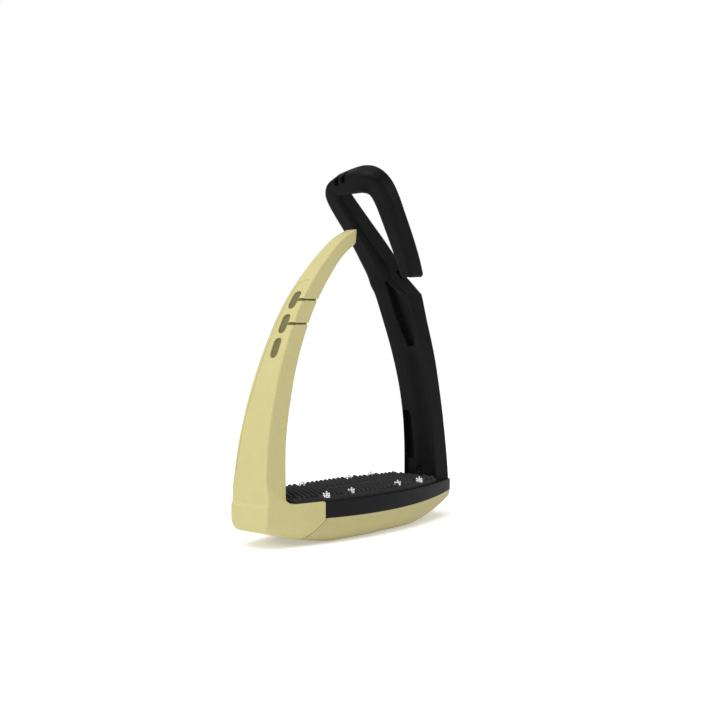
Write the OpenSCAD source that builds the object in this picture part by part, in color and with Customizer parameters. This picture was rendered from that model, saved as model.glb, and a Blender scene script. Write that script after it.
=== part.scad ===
// Safety stirrup iron with a rigid inner branch, an open hook eye and a flexible outer branch.
// Frame: +X towards the rigid branch, +Y to the rear, +Z up, origin under the middle of the sole.
// Heights in the modules are counted from the tread plane, which stands tread_h over the sole.

/* [Tread] */
// Clear width between the branches at the tread
inner_w = 120; // [114:1:126]
// Depth of the tread across its middle
tread_d = 52; // [48:1:56]
// Height of the tread plane over the sole
tread_h = 24.4; // [24:0.1:26]
// Raised pad teeth above the tread plane
tooth_h = 1; // [0.6:0.1:1.2]

/* [Studs] */
// Spacing of the studs along the tread
stud_pitch = 19; // [18:0.5:20]
// Distance from the centre line to each row
stud_row_y = 18; // [16:0.5:18]
// Height of the stud prongs over the tread plane
stud_h = 2.6; // [2:0.1:3]

/* [Branches] */
// Half depth of the rigid branch
branch_half = 11.3; // [10.5:0.1:12]
// Thickness of the spring steel blade
blade_t = 1.2; // [1:0.1:1.4]
// Width of the spring steel blade
blade_w = 7; // [6:0.5:7.5]
// Opening of each flex slit
slit_gap = 1.4; // [1.2:0.1:1.6]

/* [Hook eye] */
// Extra bar thickness of the hook eye
hook_extra = 0; // [0:0.1:0.5]

/* [Hidden] */

$fn = 48;
eps = 0.01;
big = 400;
sx = inner_w / 120;            // outlines are drawn for a 120 mm clear width
half_d = tread_d / 2;

black = [0.09, 0.09, 0.10];
pale_yellow = [0.87, 0.83, 0.60];
steel = [0.72, 0.73, 0.75];
brass = [0.78, 0.64, 0.36];

// Levels from the tread plane
sole_z = -tread_h;
rim_top = -3;
floor_top = -6;
floor_bottom = -10;
rim_low = -11.5;
pad_top = -0.6;

// Plan of the tread
plan_end = 75;
plan_drop = 9;
rim_wall = 2.2;
foot_x = -42;                  // front joint between the rim and the flexible branch's foot
tongue_x = -66;
tongue_inset = 4;

// Smooth curve through hand-set points, n steps between each two
function between(a, b, c, d, t) = 0.5 * (2 * b + (c - a) * t + (2 * a - 5 * b + 4 * c - d) * t * t
    + (3 * b - a - 3 * c + d) * t * t * t);
function smooth(p, n = 4) = concat([for (i = [0 : len(p) - 2]) for (j = [0 : n - 1])
    between(p[max(i - 1, 0)], p[i], p[i + 1], p[min(i + 2, len(p) - 1)], j / n)], [p[len(p) - 1]]);
function reversed(p) = [for (i = [len(p) - 1 : -1 : 0]) p[i]];
function shifted(p, dx) = [for (q = p) [q[0] + dx, q[1]]];
function widened(p) = [for (q = p) [q[0] * sx, q[1]]];

// Outlines of the branches, [x, height from the tread plane]
rigid_inner = widened(smooth([[61.3, -6], [61, 6], [60.2, 20], [57.6, 40], [52.5, 60], [45.8, 80],
    [36.6, 100], [30.5, 110], [28.5, 113.7]]));
rigid_outer = widened(smooth([[73.8, -6], [73, 8], [70.4, 30], [66.6, 50], [61.8, 70], [55, 90],
    [50, 105], [45, 113.5]]));
flex_inner = widened(smooth([[-61.3, -12], [-61.2, -6], [-60.6, 12], [-59, 30], [-54.6, 50], [-48, 70],
    [-38.3, 90], [-28.2, 105], [-15.2, 120], [-6.6, 127], [-1.5, 130.2]]));
flex_outer = widened(smooth([[-74.4, -12], [-74.4, -6], [-73.7, 10], [-70.9, 30], [-65.8, 50], [-58.6, 70],
    [-48.9, 90], [-38.9, 105], [-25.4, 120], [-10.5, 133], [0.5, 138.9], [3.2, 138.1]]));

// Half depth of the flexible branch at a height
flex_half_low = 12.7;
flex_half_top = 4.4;
flex_top_z = 140;
function flex_half(z) = flex_half_low + (flex_half_top - flex_half_low) * max(z, 0) / flex_top_z;

// Flex slits and the blade under the outer face
slit_z = [87.6, 100];
blade_depth = 2.6;
blade_top = 126;

// Rolled knuckles of the blade, [x, height], on the axes that the branch flexes about
knuckle_at = [[-47.6, slit_z[0]], [-40, slit_z[1]]];
knuckle_r = 1.2;
knuckle_play = 0.15;

module at_tread() translate([0, 0, tread_h]) children();

// Extrudes an [x, z] outline along Y, and a [y, z] outline along X
module side(pts, depth) rotate([90, 0, 0]) linear_extrude(depth, center = true) polygon(pts);
module cross(pts, x0, x1) translate([x0, 0, 0]) rotate([90, 0, 90]) linear_extrude(x1 - x0) polygon(pts);

function plan_y(x) = half_d - plan_drop * pow(x / 60, 2);
function plan_x(i, n) = -plan_end + 2 * plan_end * i / n;

// Boat-shaped plan of the tread, pulled in by inset, between two heights
module plan(inset, z0, z1, n = 30) {
    xs = [for (i = [0 : n]) plan_x(i, n) * (plan_end - inset) / plan_end];
    translate([0, 0, z0]) linear_extrude(z1 - z0)
        polygon(concat([for (x = xs) [x * sx, plan_y(x) - inset]],
            [for (x = reversed(xs)) [x * sx, inset - plan_y(x)]]));
}

// Keeps what lies between two x stations
module between_x(x0, x1) intersection() {
    children();
    translate([x0, -half_d * 2, -big / 2]) cube([x1 - x0, half_d * 4, big]);
}

// Keel line of the underside along the tread, and the boat-shaped hull lofted over it
flat_half = 30;
bilge = 12;
function keel(x) = sole_z + 10.3 * pow(max(abs(x) - flat_half, 0) / 43, 1.5);
function rim_edge(x) = rim_low + 1.6 * pow(x / 65, 2);
module above_edge(top) side(concat([for (x = [-76 : 4 : 76]) [x * sx, rim_edge(x)]],
    [[76 * sx, top], [-76 * sx, top]]), tread_d + 4);
function hull_ring(x, inset, top) = let(
    y = plan_y(x) - inset, low = keel(x) + inset, flat = max(y - bilge, 1), side_z = rim_edge(x))
    concat([[x * sx, y, top]],
        [for (a = [0 : 15 : 90]) [x * sx, flat + (y - flat) * cos(a), side_z + (low - side_z) * sin(a)]],
        [for (a = [90 : -15 : 0]) [x * sx, -flat - (y - flat) * cos(a), side_z + (low - side_z) * sin(a)]],
        [[x * sx, -y, top]]);
hull_x = [-75, -73.5, -71, -67, -62, -56, -49, -40, -30, -20, -10, 0, 10, 20, 30, 40, 49, 56, 62, 67, 71, 73.5, 75];
module loft(rings) {
    m = len(rings[0]);
    last = len(rings) - 1;
    polyhedron([for (r = rings) each r], concat(
        [[for (k = [m - 1 : -1 : 0]) k]],
        [for (i = [0 : last - 1], k = [0 : m - 1]) let(a = i * m + k, b = i * m + (k + 1) % m) [a, b, a + m]],
        [for (i = [0 : last - 1], k = [0 : m - 1]) let(a = i * m + k, b = i * m + (k + 1) % m) [b, b + m, a + m]],
        [[for (k = [0 : m - 1]) last * m + k]]));
}
module boat(inset, top) loft([for (x = hull_x) hull_ring(x * (plan_end - inset) / plan_end, inset, top)]);

// ---- fastener places, [x, y] ----
stud_xs = [-2 * stud_pitch, -stud_pitch, stud_pitch, 2 * stud_pitch];
pad_screw_at = [for (x = [-28, 28], y = [-13, 13]) [x, y]];
cover_screw_at = [for (x = [-24, 24], y = [-6, 6]) [x, y]];
branch_screw_at = [for (y = [-5.5, 5.5]) [66.5, y]];
blade_screw_at = [for (y = [-6, 6]) [-35, y]];

m4_r = 2;
m4_head_r = 3.6;
m3_r = 1.5;
m3_head_r = 2.75;
m4_head_h = 2.2;
clear = 0.2;
insert_wall = 1.1;
boss_r = 4.4;
boss_low = -15;

module at_each(places, z) for (p = places) translate([p[0] * sx, p[1], z]) children();
module screw(r, head_r, head_h, length) {
    difference() {
        translate([0, 0, -head_h]) cylinder(r = head_r, h = head_h);
        translate([0, 0, -head_h - eps]) cylinder(r = r * 0.85, h = head_h * 0.6, $fn = 6);
    }
    cylinder(r = r, h = length);
}
module insert(r, h) difference() {
    cylinder(r = r + insert_wall, h = h);
    translate([0, 0, -1]) cylinder(r = r, h = h + 2);
}

// ---- tread ----
floor_h = floor_top - floor_bottom;
module stud_places() for (x = stud_xs, y = [-1, 1]) translate([x * sx, y * stud_row_y, 0]) children();

module tread_frame() color(black) at_tread() difference() {
    union() {
        difference() {
            intersection() {
                between_x(foot_x * sx, plan_end * sx) plan(0, rim_low, rim_top);
                above_edge(0);
            }
            plan(rim_wall, floor_top, 1);
            between_x(foot_x * sx, 58 * sx) plan(rim_wall, rim_low - 1, floor_bottom);
        }
        between_x(tongue_x * sx, (foot_x + 1) * sx) plan(tongue_inset, floor_bottom, floor_top);
        at_each(cover_screw_at, boss_low) cylinder(r = boss_r, h = floor_top - boss_low - 1);
        // right end deck that carries the rigid branch
        intersection() {
            between_x(56 * sx, plan_end * sx) plan(0, rim_low, rim_top);
            above_edge(0);
        }
    }
    between_x(0, (pad_end + 0.3) * sx) plan(rim_wall, floor_top, 1);
    translate([64 * sx, -8, branch_base]) cube([6, 16, 10]);
    stud_places() translate([0, 0, floor_bottom - 1]) cylinder(r = m3_r + insert_wall, h = floor_h + 2);
    at_each(pad_screw_at, -30) cylinder(r = m3_r + clear, h = 30);
    at_each(cover_screw_at, boss_low - 1) cylinder(r = m3_r + insert_wall, h = 7);
    at_each(branch_screw_at, -30) cylinder(r = m4_r + clear, h = 40);
    at_each(branch_screw_at, -30) cylinder(r = m4_head_r + 1, h = 30 + floor_bottom);
    at_each(blade_screw_at, floor_bottom - 1) cylinder(r = m4_r + insert_wall, h = floor_h + 2);
}

pad_end = 57.5;
module tread_pad() color(black) at_tread() difference() {
    union() {
        between_x(-pad_end * sx, pad_end * sx) plan(rim_wall + 0.2, floor_top, pad_top);
        intersection() {
            between_x(-pad_end * sx, pad_end * sx) plan(rim_wall + 0.8, floor_top, tooth_h);
            for (x = [-56 : 4 : 54], y = [-1, 1]) translate([x * sx, y > 0 ? 1 : -tread_d / 2 - 1, pad_top - 1])
                cube([2, tread_d / 2, 1 + tooth_h - pad_top]);
        }
    }
    stud_places() translate([0, 0, floor_top - 1]) cylinder(r = m3_r + clear, h = 20);
    stud_places() translate([0, 0, pad_top - stud_sunk]) cylinder(r = stud_r + clear, h = 20);
    at_each(pad_screw_at, floor_top - 1) cylinder(r = m3_r + insert_wall, h = 5);
}

module pad_screws() color(steel) at_tread() at_each(pad_screw_at, floor_bottom)
    screw(m3_r, m3_head_r, 2, 7.5);
module pad_inserts() color(brass) at_tread() at_each(pad_screw_at, floor_top) insert(m3_r, 4);

// Crown stud: threaded shank, flange and four prongs
stud_r = 2.1;
stud_flange_h = 1.4;
stud_sunk = 0.6;
prong_at = 1.15;
module stud() {
    translate([0, 0, floor_bottom + 0.4]) cylinder(r = m3_r, h = pad_top - floor_bottom - 0.5);
    translate([0, 0, pad_top - stud_sunk]) cylinder(r = stud_r, h = stud_flange_h);
    for (a = [45 : 90 : 315]) rotate([0, 0, a]) translate([prong_at, 0, pad_top - stud_sunk + stud_flange_h - 0.1])
        cylinder(r1 = 0.85, r2 = 0.4, h = stud_h - pad_top + stud_sunk - stud_flange_h + 0.1);
}
module stud_row(side_y) for (x = stud_xs) translate([x * sx, side_y * stud_row_y, 0]) stud();
module studs_front() color(steel) at_tread() stud_row(-1);
module studs_rear() color(steel) at_tread() stud_row(1);
module stud_inserts() color(brass) at_tread() stud_places()
    translate([0, 0, floor_bottom]) insert(m3_r, floor_h);

// ---- bottom cover ----
cover_wall = 2.2;
seam_low = [-52, -21];
cover_post_r = 4.2;
cover_head_z = sole_z + 3;
module cover_cut() side([[foot_x * sx, rim_low + 20], [foot_x * sx, rim_low], [seam_low[0] * sx, seam_low[1]],
    [(seam_low[0] - 3) * sx, seam_low[1] - 6], [80 * sx, seam_low[1] - 6], [80 * sx, rim_low + 20]], tread_d + 4);

module bottom_cover() color(pale_yellow) at_tread() difference() {
    union() {
        difference() {
            intersection() { boat(0, rim_top); cover_cut(); }
            intersection() { boat(cover_wall, rim_top); translate([cover_wall, 0, 0]) cover_cut(); }
            above_edge(0);
        }
        at_each(cover_screw_at, sole_z + 0.5) cylinder(r = cover_post_r, h = boss_low - sole_z - 0.5);
    }
    at_each(cover_screw_at, sole_z - 1) cylinder(r = m3_r + clear, h = 30);
    at_each(cover_screw_at, sole_z - 1) cylinder(r = m3_head_r + clear, h = 4);
    // notch that lets the blade's foot and its clamp plate through the seam wall
    translate([foot_x * sx - notch_l, -notch_half, clamp_z - 1]) cube([2 * notch_l, 2 * notch_half, 10]);
}
notch_l = 5;
notch_half = 11.5;
module cover_screws() color(steel) at_tread() at_each(cover_screw_at, cover_head_z)
    screw(m3_r, m3_head_r, 2, boss_low + 5.5 - cover_head_z);
module cover_inserts() color(brass) at_tread() at_each(cover_screw_at, boss_low) insert(m3_r, 5.5);

// ---- rigid inner branch with the hook eye ----
hook_lean = 33;
hook_n = [cos(hook_lean), 0, sin(hook_lean)];
// Centre line of the hook: x, y, height, thickness across the plane of the hook, width in it
hook_line = [[46.5, 0.5, 95, 15, 21], [41, 1, 108, 15.5, 20.5], [35.5, 6, 120, 15, 16], [29.5, 9.5, 130, 15, 14],
    [22.5, 12.3, 140, 14, 11.5], [14.5, 14.7, 150, 13, 10], [8.8, 15.8, 157, 12.5, 9.2],
    [6, 15, 161.1, 12.5, 9.2], [4.4, 12, 164.1, 12.5, 9.6], [3.9, 7, 165, 12.5, 10.8],
    [4.1, 0, 166, 12.5, 12], [4.7, -7, 166.8, 12.4, 12.6], [6.4, -12, 165.2, 12, 12], [9.2, -15.1, 161.4, 11.8, 10.6],
    [12.9, -16.3, 155, 11.4, 10.2], [18.4, -16.4, 145.5, 11.2, 9.8], [25.1, -16.4, 133.4, 11, 9.4],
    [31.2, -16, 122.6, 10.6, 9], [35.4, -15.4, 114.8, 9.8, 8.4]];

function unit(v) = v / norm(v);
function place(q) = [q[0] * sx, q[1], q[2]];
function round_pow(v) = sign(v) * pow(abs(v), 0.55);
function ring(p, i, m) = let(
    t = unit(place(p[min(i + 1, len(p) - 1)]) - place(p[max(i - 1, 0)])),
    b = unit(cross(t, hook_n)), n = cross(b, t))
    [for (k = [0 : m - 1]) place(p[i]) + b * (p[i][4] + hook_extra) / 2 * round_pow(cos(360 * k / m))
        + n * (p[i][3] + hook_extra) / 2 * round_pow(sin(360 * k / m))];

module sweep(p, m = 16) loft([for (i = [0 : len(p) - 1]) ring(p, i, m)]);

core_half = 6;
core_t = 3;
core_z = [9, 92];
module branch_mid(t, half, z0, z1) intersection() {
    side(concat(shifted(rigid_inner, 6.2 - t / 2), reversed(shifted(rigid_inner, 6.2 + t / 2))), 2 * half);
    translate([-big / 2, -half, z0]) cube([big, 2 * half, z1 - z0]);
}

branch_base = -5;
ramp_low_z = 105;              // the ramp up to the strap starts here on the front
ramp_top = [-2, 114];
module rigid_panel(outline, depth) intersection() {
    side(concat([[0, -6]], shifted(rigid_inner, depth), [[0, 110]]), 60);
    cross(outline, 0, 80);
}
upper_pocket = [[1.3, 108], [-3.2, 98], [-3.2, 87], [-3.8, 76], [0, 75], [4, 84], [4.2, 95]];
lower_pocket = [[4.5, 6], [9.5, 6], [9.5, 38], [4.5, 38]];
hook_slot_at = [[0.6, 8.8, 165], [0.4, 4.6, 166]];

module inner_branch() color(black) at_tread() difference() {
    union() {
        intersection() {
            side(concat(rigid_inner, reversed(rigid_outer)), 2 * branch_half);
            cross([[-branch_half - 1, rim_top], [branch_half + 1, rim_top], [branch_half, 30],
                [branch_half - 0.6, ramp_top[1]], ramp_top, [0.6 - branch_half, ramp_low_z],
                [-branch_half, 30]], 0, 90);
        }
        intersection() {
            side(concat(rigid_inner, reversed(rigid_outer)), 2 * branch_half);
            translate([64 * sx, -8, branch_base]) cube([6, 16, 10]);
        }
        sweep(smooth(hook_line, 2));
    }
    rigid_panel(upper_pocket, 2.2);
    rigid_panel(lower_pocket, 2.2);
    branch_mid(core_t, core_half, core_z[0], core_z[1]);
    at_each(branch_screw_at, rim_top - eps) cylinder(r = m4_r + insert_wall, h = 11 + eps);
    at_each(branch_screw_at, branch_base - 1) cylinder(r = m4_r + clear, h = 10);
    for (p = hook_slot_at) translate([p[0] * sx - 5, p[1], p[2]]) rotate([0, 90 - hook_lean, 0]) {
        cube([4, 1.8, 6], center = true);
    }
}
module inner_branch_core() color(steel) at_tread() branch_mid(core_t, core_half, core_z[0], core_z[1]);
module inner_branch_screws() color(steel) at_tread() at_each(branch_screw_at, floor_bottom)
    screw(m4_r, m4_head_r, m4_head_h, 17);
module inner_branch_inserts() color(brass) at_tread() at_each(branch_screw_at, rim_top) insert(m4_r, 11);

// ---- flexible outer branch ----
module flex_body(z0, z1) intersection() {
    side(concat(flex_outer, reversed(flex_inner)), 40);
    cross([[-flex_half(z0), z0], [flex_half(z0), z0], [flex_half(z1), z1], [-flex_half(z1), z1]], -90, 30);
}
module blade_strip(z0, z1) intersection() {
    side(concat(shifted(flex_outer, blade_depth - blade_t / 2),
        reversed(shifted(flex_outer, blade_depth + blade_t / 2))), blade_w);
    translate([-big / 2, -20, z0]) cube([big, 40, z1 - z0]);
}
module knuckle(i, play = 0) translate([knuckle_at[i][0] * sx, 0, knuckle_at[i][1]]) rotate([90, 0, 0])
    cylinder(r = knuckle_r + play, h = blade_w + play, center = true);
// Upright oval window through the outer skin to the blade, at a height on the outer face
window_h = 9;
window_w = 4.6;
window_at = [[-42, 100.6], [-49.7, 88.4], [-55.8, 76.2]];
window_y = 0;
module windows() for (p = window_at) translate([p[0] * sx, window_y, p[1]]) rotate([0, 32, 0])
    for (s = [-1, 1]) translate([0, 0, s * (window_h - window_w) / 2]) rotate([0, 90, 0])
        cylinder(r = window_w / 2, h = 7, center = true);

foot_slope = [[foot_x * sx, rim_top + 0.6], [foot_x * sx, rim_low], [seam_low[0] * sx, seam_low[1]],
    [(seam_low[0] - 3) * sx, seam_low[1] - 6], [-80 * sx, seam_low[1] - 6], [-80 * sx, rim_top + 0.6]];
bend_x = -71.8; // the blade turns under the tread frame here
blade_foot_half = 8.5;
blade_foot_end = -29;
module blade_foot() translate([bend_x * sx - blade_t / 2, -blade_foot_half, floor_bottom - blade_t])
    cube([(blade_foot_end - bend_x) * sx, 2 * blade_foot_half, blade_t]);
module outer_branch_root() color(pale_yellow) at_tread() difference() {
    union() {
        flex_body(-6, slit_z[0] - slit_gap / 2);
        intersection() { boat(0, rim_top + 0.6); side(foot_slope, tread_d + 4); }
    }
    between_x(tongue_x * sx, 0) plan(tongue_inset, floor_bottom, floor_top);
    between_x(-(pad_end + 0.3) * sx, 0) plan(rim_wall, floor_top - eps, 3);
    blade_strip(floor_bottom - blade_t, blade_top);
    blade_foot();
    translate([(seam_low[0] + 2) * sx, -12, -30]) cube([20, 24, 30 + floor_bottom]);
    knuckle(0, knuckle_play);
    windows();
}
module outer_branch_middle() color(pale_yellow) at_tread() difference() {
    flex_body(slit_z[0] + slit_gap / 2, slit_z[1] - slit_gap / 2);
    blade_strip(80, blade_top);
    for (i = [0, 1]) knuckle(i, knuckle_play);
    windows();
}
module outer_branch_tip() color(pale_yellow) at_tread() difference() {
    flex_body(slit_z[1] + slit_gap / 2, flex_top_z + 1);
    blade_strip(90, blade_top);
    knuckle(1, knuckle_play);
    windows();
}
module spring_blade_root() color(steel) at_tread() difference() {
    union() {
        blade_strip(floor_bottom - blade_t, slit_z[0]);
        blade_foot();
        knuckle(0);
    }
    at_each(blade_screw_at, -20) cylinder(r = m4_r + clear, h = 20);
}
module spring_blade_middle() color(steel) at_tread() {
    difference() {
        blade_strip(slit_z[0] + knuckle_play, slit_z[1]);
        knuckle(0, knuckle_play);
    }
    knuckle(1);
}
module spring_blade_tip() color(steel) at_tread() difference() {
    blade_strip(slit_z[1] + knuckle_play, blade_top);
    knuckle(1, knuckle_play);
}

clamp_t = 1.5;
clamp_z = floor_bottom - blade_t - clamp_t;
module blade_clamp_plate() color(steel) at_tread() difference() {
    translate([-40 * sx, -10, clamp_z]) cube([10 * sx, 20, clamp_t]);
    at_each(blade_screw_at, -20) cylinder(r = m4_r + clear, h = 20);
}
module blade_screws() color(steel) at_tread() at_each(blade_screw_at, clamp_z)
    screw(m4_r, m4_head_r, m4_head_h, 6.2);
module blade_inserts() color(brass) at_tread() at_each(blade_screw_at, floor_bottom) insert(m4_r, floor_h);

tread_frame();
tread_pad();
pad_screws();
pad_inserts();
studs_front();
studs_rear();
stud_inserts();
bottom_cover();
cover_screws();
cover_inserts();
inner_branch();
inner_branch_core();
inner_branch_screws();
inner_branch_inserts();
outer_branch_root();
outer_branch_middle();
outer_branch_tip();
spring_blade_root();
spring_blade_middle();
spring_blade_tip();
blade_clamp_plate();
blade_screws();
blade_inserts();
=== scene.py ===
"""Safety stirrup iron: the moulded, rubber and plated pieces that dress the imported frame."""
import logging
import math
from dataclasses import dataclass
from enum import Enum
from typing import Callable, Sequence

import bmesh
import bpy
import numpy as np
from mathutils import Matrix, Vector
from mathutils.bvhtree import BVHTree


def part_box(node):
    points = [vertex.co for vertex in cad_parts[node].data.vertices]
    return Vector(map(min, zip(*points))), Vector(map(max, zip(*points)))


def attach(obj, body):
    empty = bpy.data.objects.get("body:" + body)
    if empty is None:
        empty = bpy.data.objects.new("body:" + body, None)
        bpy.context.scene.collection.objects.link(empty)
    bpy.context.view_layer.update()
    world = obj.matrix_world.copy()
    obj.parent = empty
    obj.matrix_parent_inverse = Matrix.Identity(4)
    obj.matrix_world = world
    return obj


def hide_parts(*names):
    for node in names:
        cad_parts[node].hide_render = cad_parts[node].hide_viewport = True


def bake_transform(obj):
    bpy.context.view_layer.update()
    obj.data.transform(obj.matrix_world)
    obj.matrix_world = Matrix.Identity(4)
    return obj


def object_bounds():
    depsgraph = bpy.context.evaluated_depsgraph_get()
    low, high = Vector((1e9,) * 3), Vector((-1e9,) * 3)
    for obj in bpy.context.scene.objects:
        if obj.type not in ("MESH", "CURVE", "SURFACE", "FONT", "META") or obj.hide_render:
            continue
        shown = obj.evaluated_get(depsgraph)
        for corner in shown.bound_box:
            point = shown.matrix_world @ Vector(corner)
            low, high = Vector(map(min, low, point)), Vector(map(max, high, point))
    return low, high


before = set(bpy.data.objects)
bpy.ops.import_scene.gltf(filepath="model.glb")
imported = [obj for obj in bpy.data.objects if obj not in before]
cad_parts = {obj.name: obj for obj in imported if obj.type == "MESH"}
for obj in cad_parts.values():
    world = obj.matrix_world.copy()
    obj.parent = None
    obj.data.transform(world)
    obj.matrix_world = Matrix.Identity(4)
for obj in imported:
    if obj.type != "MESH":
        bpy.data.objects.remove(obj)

CAD_LOW, CAD_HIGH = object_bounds()
log = logging.getLogger("stirrup")

MM = 0.001
RIM_UNDER_TREAD = 3.0
TREAD_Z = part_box("tread_frame")[1].z / MM + RIM_UNDER_TREAD
Vec3 = tuple[float, float, float]
Point = tuple[float, float]
Line = tuple[Point, ...]


class Body(Enum):
    """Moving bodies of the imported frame."""

    STIRRUP = "stirrup_body"
    MIDDLE = "flex_middle"
    TIP = "flex_tip"


class Slot(Enum):
    """Material slots of the record."""

    NYLON = "black_nylon"
    PAD = "pad_rubber"
    BRANCH = "branch_elastomer"
    COVER = "cover_elastomer"
    STUD = "stud_steel"
    ZINC = "zinc_steel"
    CORE = "core_steel"
    BLADE = "blade_steel"
    INSERT = "insert_brass"


# ---------------------------------------------------------------- curves and meshes


def lifted(points: np.ndarray) -> np.ndarray:
    """Counts heights from the sole instead of the tread plane.

    Args:
        points: Points in millimetres whose last column is the height from the tread.

    Returns:
        The points with that height counted from the sole.
    """
    out = np.array(points, float)
    out[..., 2] += TREAD_Z
    return out


def spline(points: Sequence[Sequence[float]], spacing: float) -> np.ndarray:
    """Runs a smooth curve through given points.

    Args:
        points: Rows to pass through; the first two or three columns are the place.
        spacing: Longest step along the curve, in millimetres.

    Returns:
        One row for each point of the curve.
    """
    keys = np.array(points, float)
    rows = []
    for i in range(len(keys) - 1):
        a, b = keys[max(i - 1, 0)], keys[i]
        c, d = keys[i + 1], keys[min(i + 2, len(keys) - 1)]
        steps = max(2, math.ceil(np.linalg.norm((c - b)[:3]) / spacing))
        for t in np.arange(steps) / steps:
            rows.append(0.5 * (2 * b + (c - a) * t + (2 * a - 5 * b + 4 * c - d) * t**2
                               + (3 * b - a - 3 * c + d) * t**3))
    rows.append(keys[-1])
    return np.array(rows)


def smoothstep(value: np.ndarray, low: float, high: float) -> np.ndarray:
    """Rises softly from 0 at low to 1 at high."""
    t = np.clip((np.asarray(value, float) - low) / (high - low), 0.0, 1.0)
    return t * t * (3.0 - 2.0 * t)


def outline_distance(points: np.ndarray, outline: Line, closed: bool = True) -> np.ndarray:
    """Measures how far points lie from an outline.

    Args:
        points: Rows of two coordinates.
        outline: Corners of the outline.
        closed: True where the outline encloses an area.

    Returns:
        The distance of each point, negative inside a closed outline.
    """
    corners = np.array(outline, float)
    ends = np.roll(corners, -1, axis=0) if closed else corners[1:]
    starts = corners if closed else corners[:-1]
    best = np.full(len(points), 1e9)
    inside = np.zeros(len(points), bool)
    for a, b in zip(starts, ends):
        along = b - a
        t = np.clip(((points - a) @ along) / (along @ along), 0.0, 1.0)
        best = np.minimum(best, np.linalg.norm(points - a - t[:, None] * along, axis=1))
        crosses = (a[1] > points[:, 1]) != (b[1] > points[:, 1])
        rise = along[1] if abs(along[1]) > 1e-9 else 1e-9
        inside ^= crosses & (points[:, 0] < a[0] + (points[:, 1] - a[1]) * along[0] / rise)
    return np.where(inside, -best, best) if closed else best


def piece_from(name: str, points: np.ndarray, faces: Sequence[Sequence[int]]) -> bpy.types.Object:
    """Makes one mesh object from points in millimetres.

    Args:
        name: Name of the piece.
        points: Points, heights from the sole.
        faces: Corners of each face.

    Returns:
        The object, with its faces turned outwards.
    """
    data = bpy.data.meshes.new(name)
    data.from_pydata((np.asarray(points) * MM).tolist(), [], [tuple(f) for f in faces])
    piece = bpy.data.objects.new(name, data)
    bpy.context.scene.collection.objects.link(piece)
    with_bmesh(piece, lambda bm: bmesh.ops.recalc_face_normals(bm, faces=bm.faces))
    return piece


def with_bmesh(piece: bpy.types.Object, edit: Callable[[bmesh.types.BMesh], object]) -> None:
    """Runs one edit on a piece's mesh.

    Args:
        piece: The piece to change.
        edit: What is done to its mesh.
    """
    bm = bmesh.new()
    bm.from_mesh(piece.data)
    edit(bm)
    bm.to_mesh(piece.data)
    bm.free()
    piece.data.update()


def skin(rings: np.ndarray) -> list[tuple[int, ...]]:
    """Joins a stack of equal rings into a closed skin.

    Args:
        rings: Array of ring, point and coordinate.

    Returns:
        The faces, both ends included.
    """
    index = np.arange(rings.shape[0] * rings.shape[1]).reshape(rings.shape[:2])
    a, d = index[:-1], index[1:]
    b, c = np.roll(a, -1, axis=1), np.roll(d, -1, axis=1)
    quads = np.stack([a, b, c, d], axis=-1).reshape(-1, 4).tolist()
    return [tuple(q) for q in quads] + [tuple(index[0][::-1].tolist()), tuple(index[-1].tolist())]


def lofted(name: str, rings: np.ndarray) -> bpy.types.Object:
    """Makes a closed piece over a stack of rings counted from the tread plane."""
    return piece_from(name, lifted(rings).reshape(-1, 3), skin(rings))


def prism(name: str, outline: Line, low: float, high: float, axis: str) -> bpy.types.Object:
    """Extrudes an outline along Y or Z.

    Args:
        name: Name of the piece.
        outline: Corners in (x, z) for axis "y", in (x, y) for axis "z".
        low: Start along the axis.
        high: End along the axis.
        axis: "y" or "z".

    Returns:
        The closed prism.
    """
    flat = np.array(outline, float)
    rings = []
    for level in (low, high):
        fill = np.full(len(flat), float(level))
        columns = (flat[:, 0], fill, flat[:, 1]) if axis == "y" else (flat[:, 0], flat[:, 1], fill)
        rings.append(np.stack(columns, axis=1))
    return lofted(name, np.array(rings))


def apply_modifiers(piece: bpy.types.Object) -> None:
    """Turns a piece's modifiers into its mesh.

    Args:
        piece: The piece whose modifiers are used up.
    """
    graph = bpy.context.evaluated_depsgraph_get()
    data = bpy.data.meshes.new_from_object(piece.evaluated_get(graph))
    old = piece.data
    piece.modifiers.clear()
    piece.data = data
    bpy.data.meshes.remove(old)


def combine(piece: bpy.types.Object, other: bpy.types.Object, operation: str) -> None:
    """Cuts or joins a piece with another solid, which is then thrown away.

    Args:
        piece: The piece that stays.
        other: The cutting or added solid.
        operation: "DIFFERENCE", "UNION" or "INTERSECT".
    """
    modifier = piece.modifiers.new("combine", "BOOLEAN")
    modifier.operation = operation
    modifier.solver = "EXACT"
    modifier.object = other
    apply_modifiers(piece)
    bpy.data.objects.remove(other)


def voxelled(piece: bpy.types.Object, voxel: float, passes: int) -> None:
    """Rebuilds a piece on an even grid and relaxes it.

    Args:
        piece: The piece to rebuild.
        voxel: Grid size in millimetres.
        passes: Smoothing passes.
    """
    remesh = piece.modifiers.new("even", "REMESH")
    remesh.mode = "VOXEL"
    remesh.voxel_size = voxel * MM
    relax = piece.modifiers.new("relax", "SMOOTH")
    relax.factor = 0.5
    relax.iterations = passes
    apply_modifiers(piece)


def shade(piece: bpy.types.Object, crease_deg: float) -> None:
    """Smooths a piece's shading except over its sharp edges.

    Args:
        piece: The piece to shade.
        crease_deg: Angle from which an edge stays sharp, in degrees.
    """
    piece.data.polygons.foreach_set("use_smooth", [True] * len(piece.data.polygons))
    piece.data.set_sharp_from_angle(angle=math.radians(crease_deg))
    piece.data.update()


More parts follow.
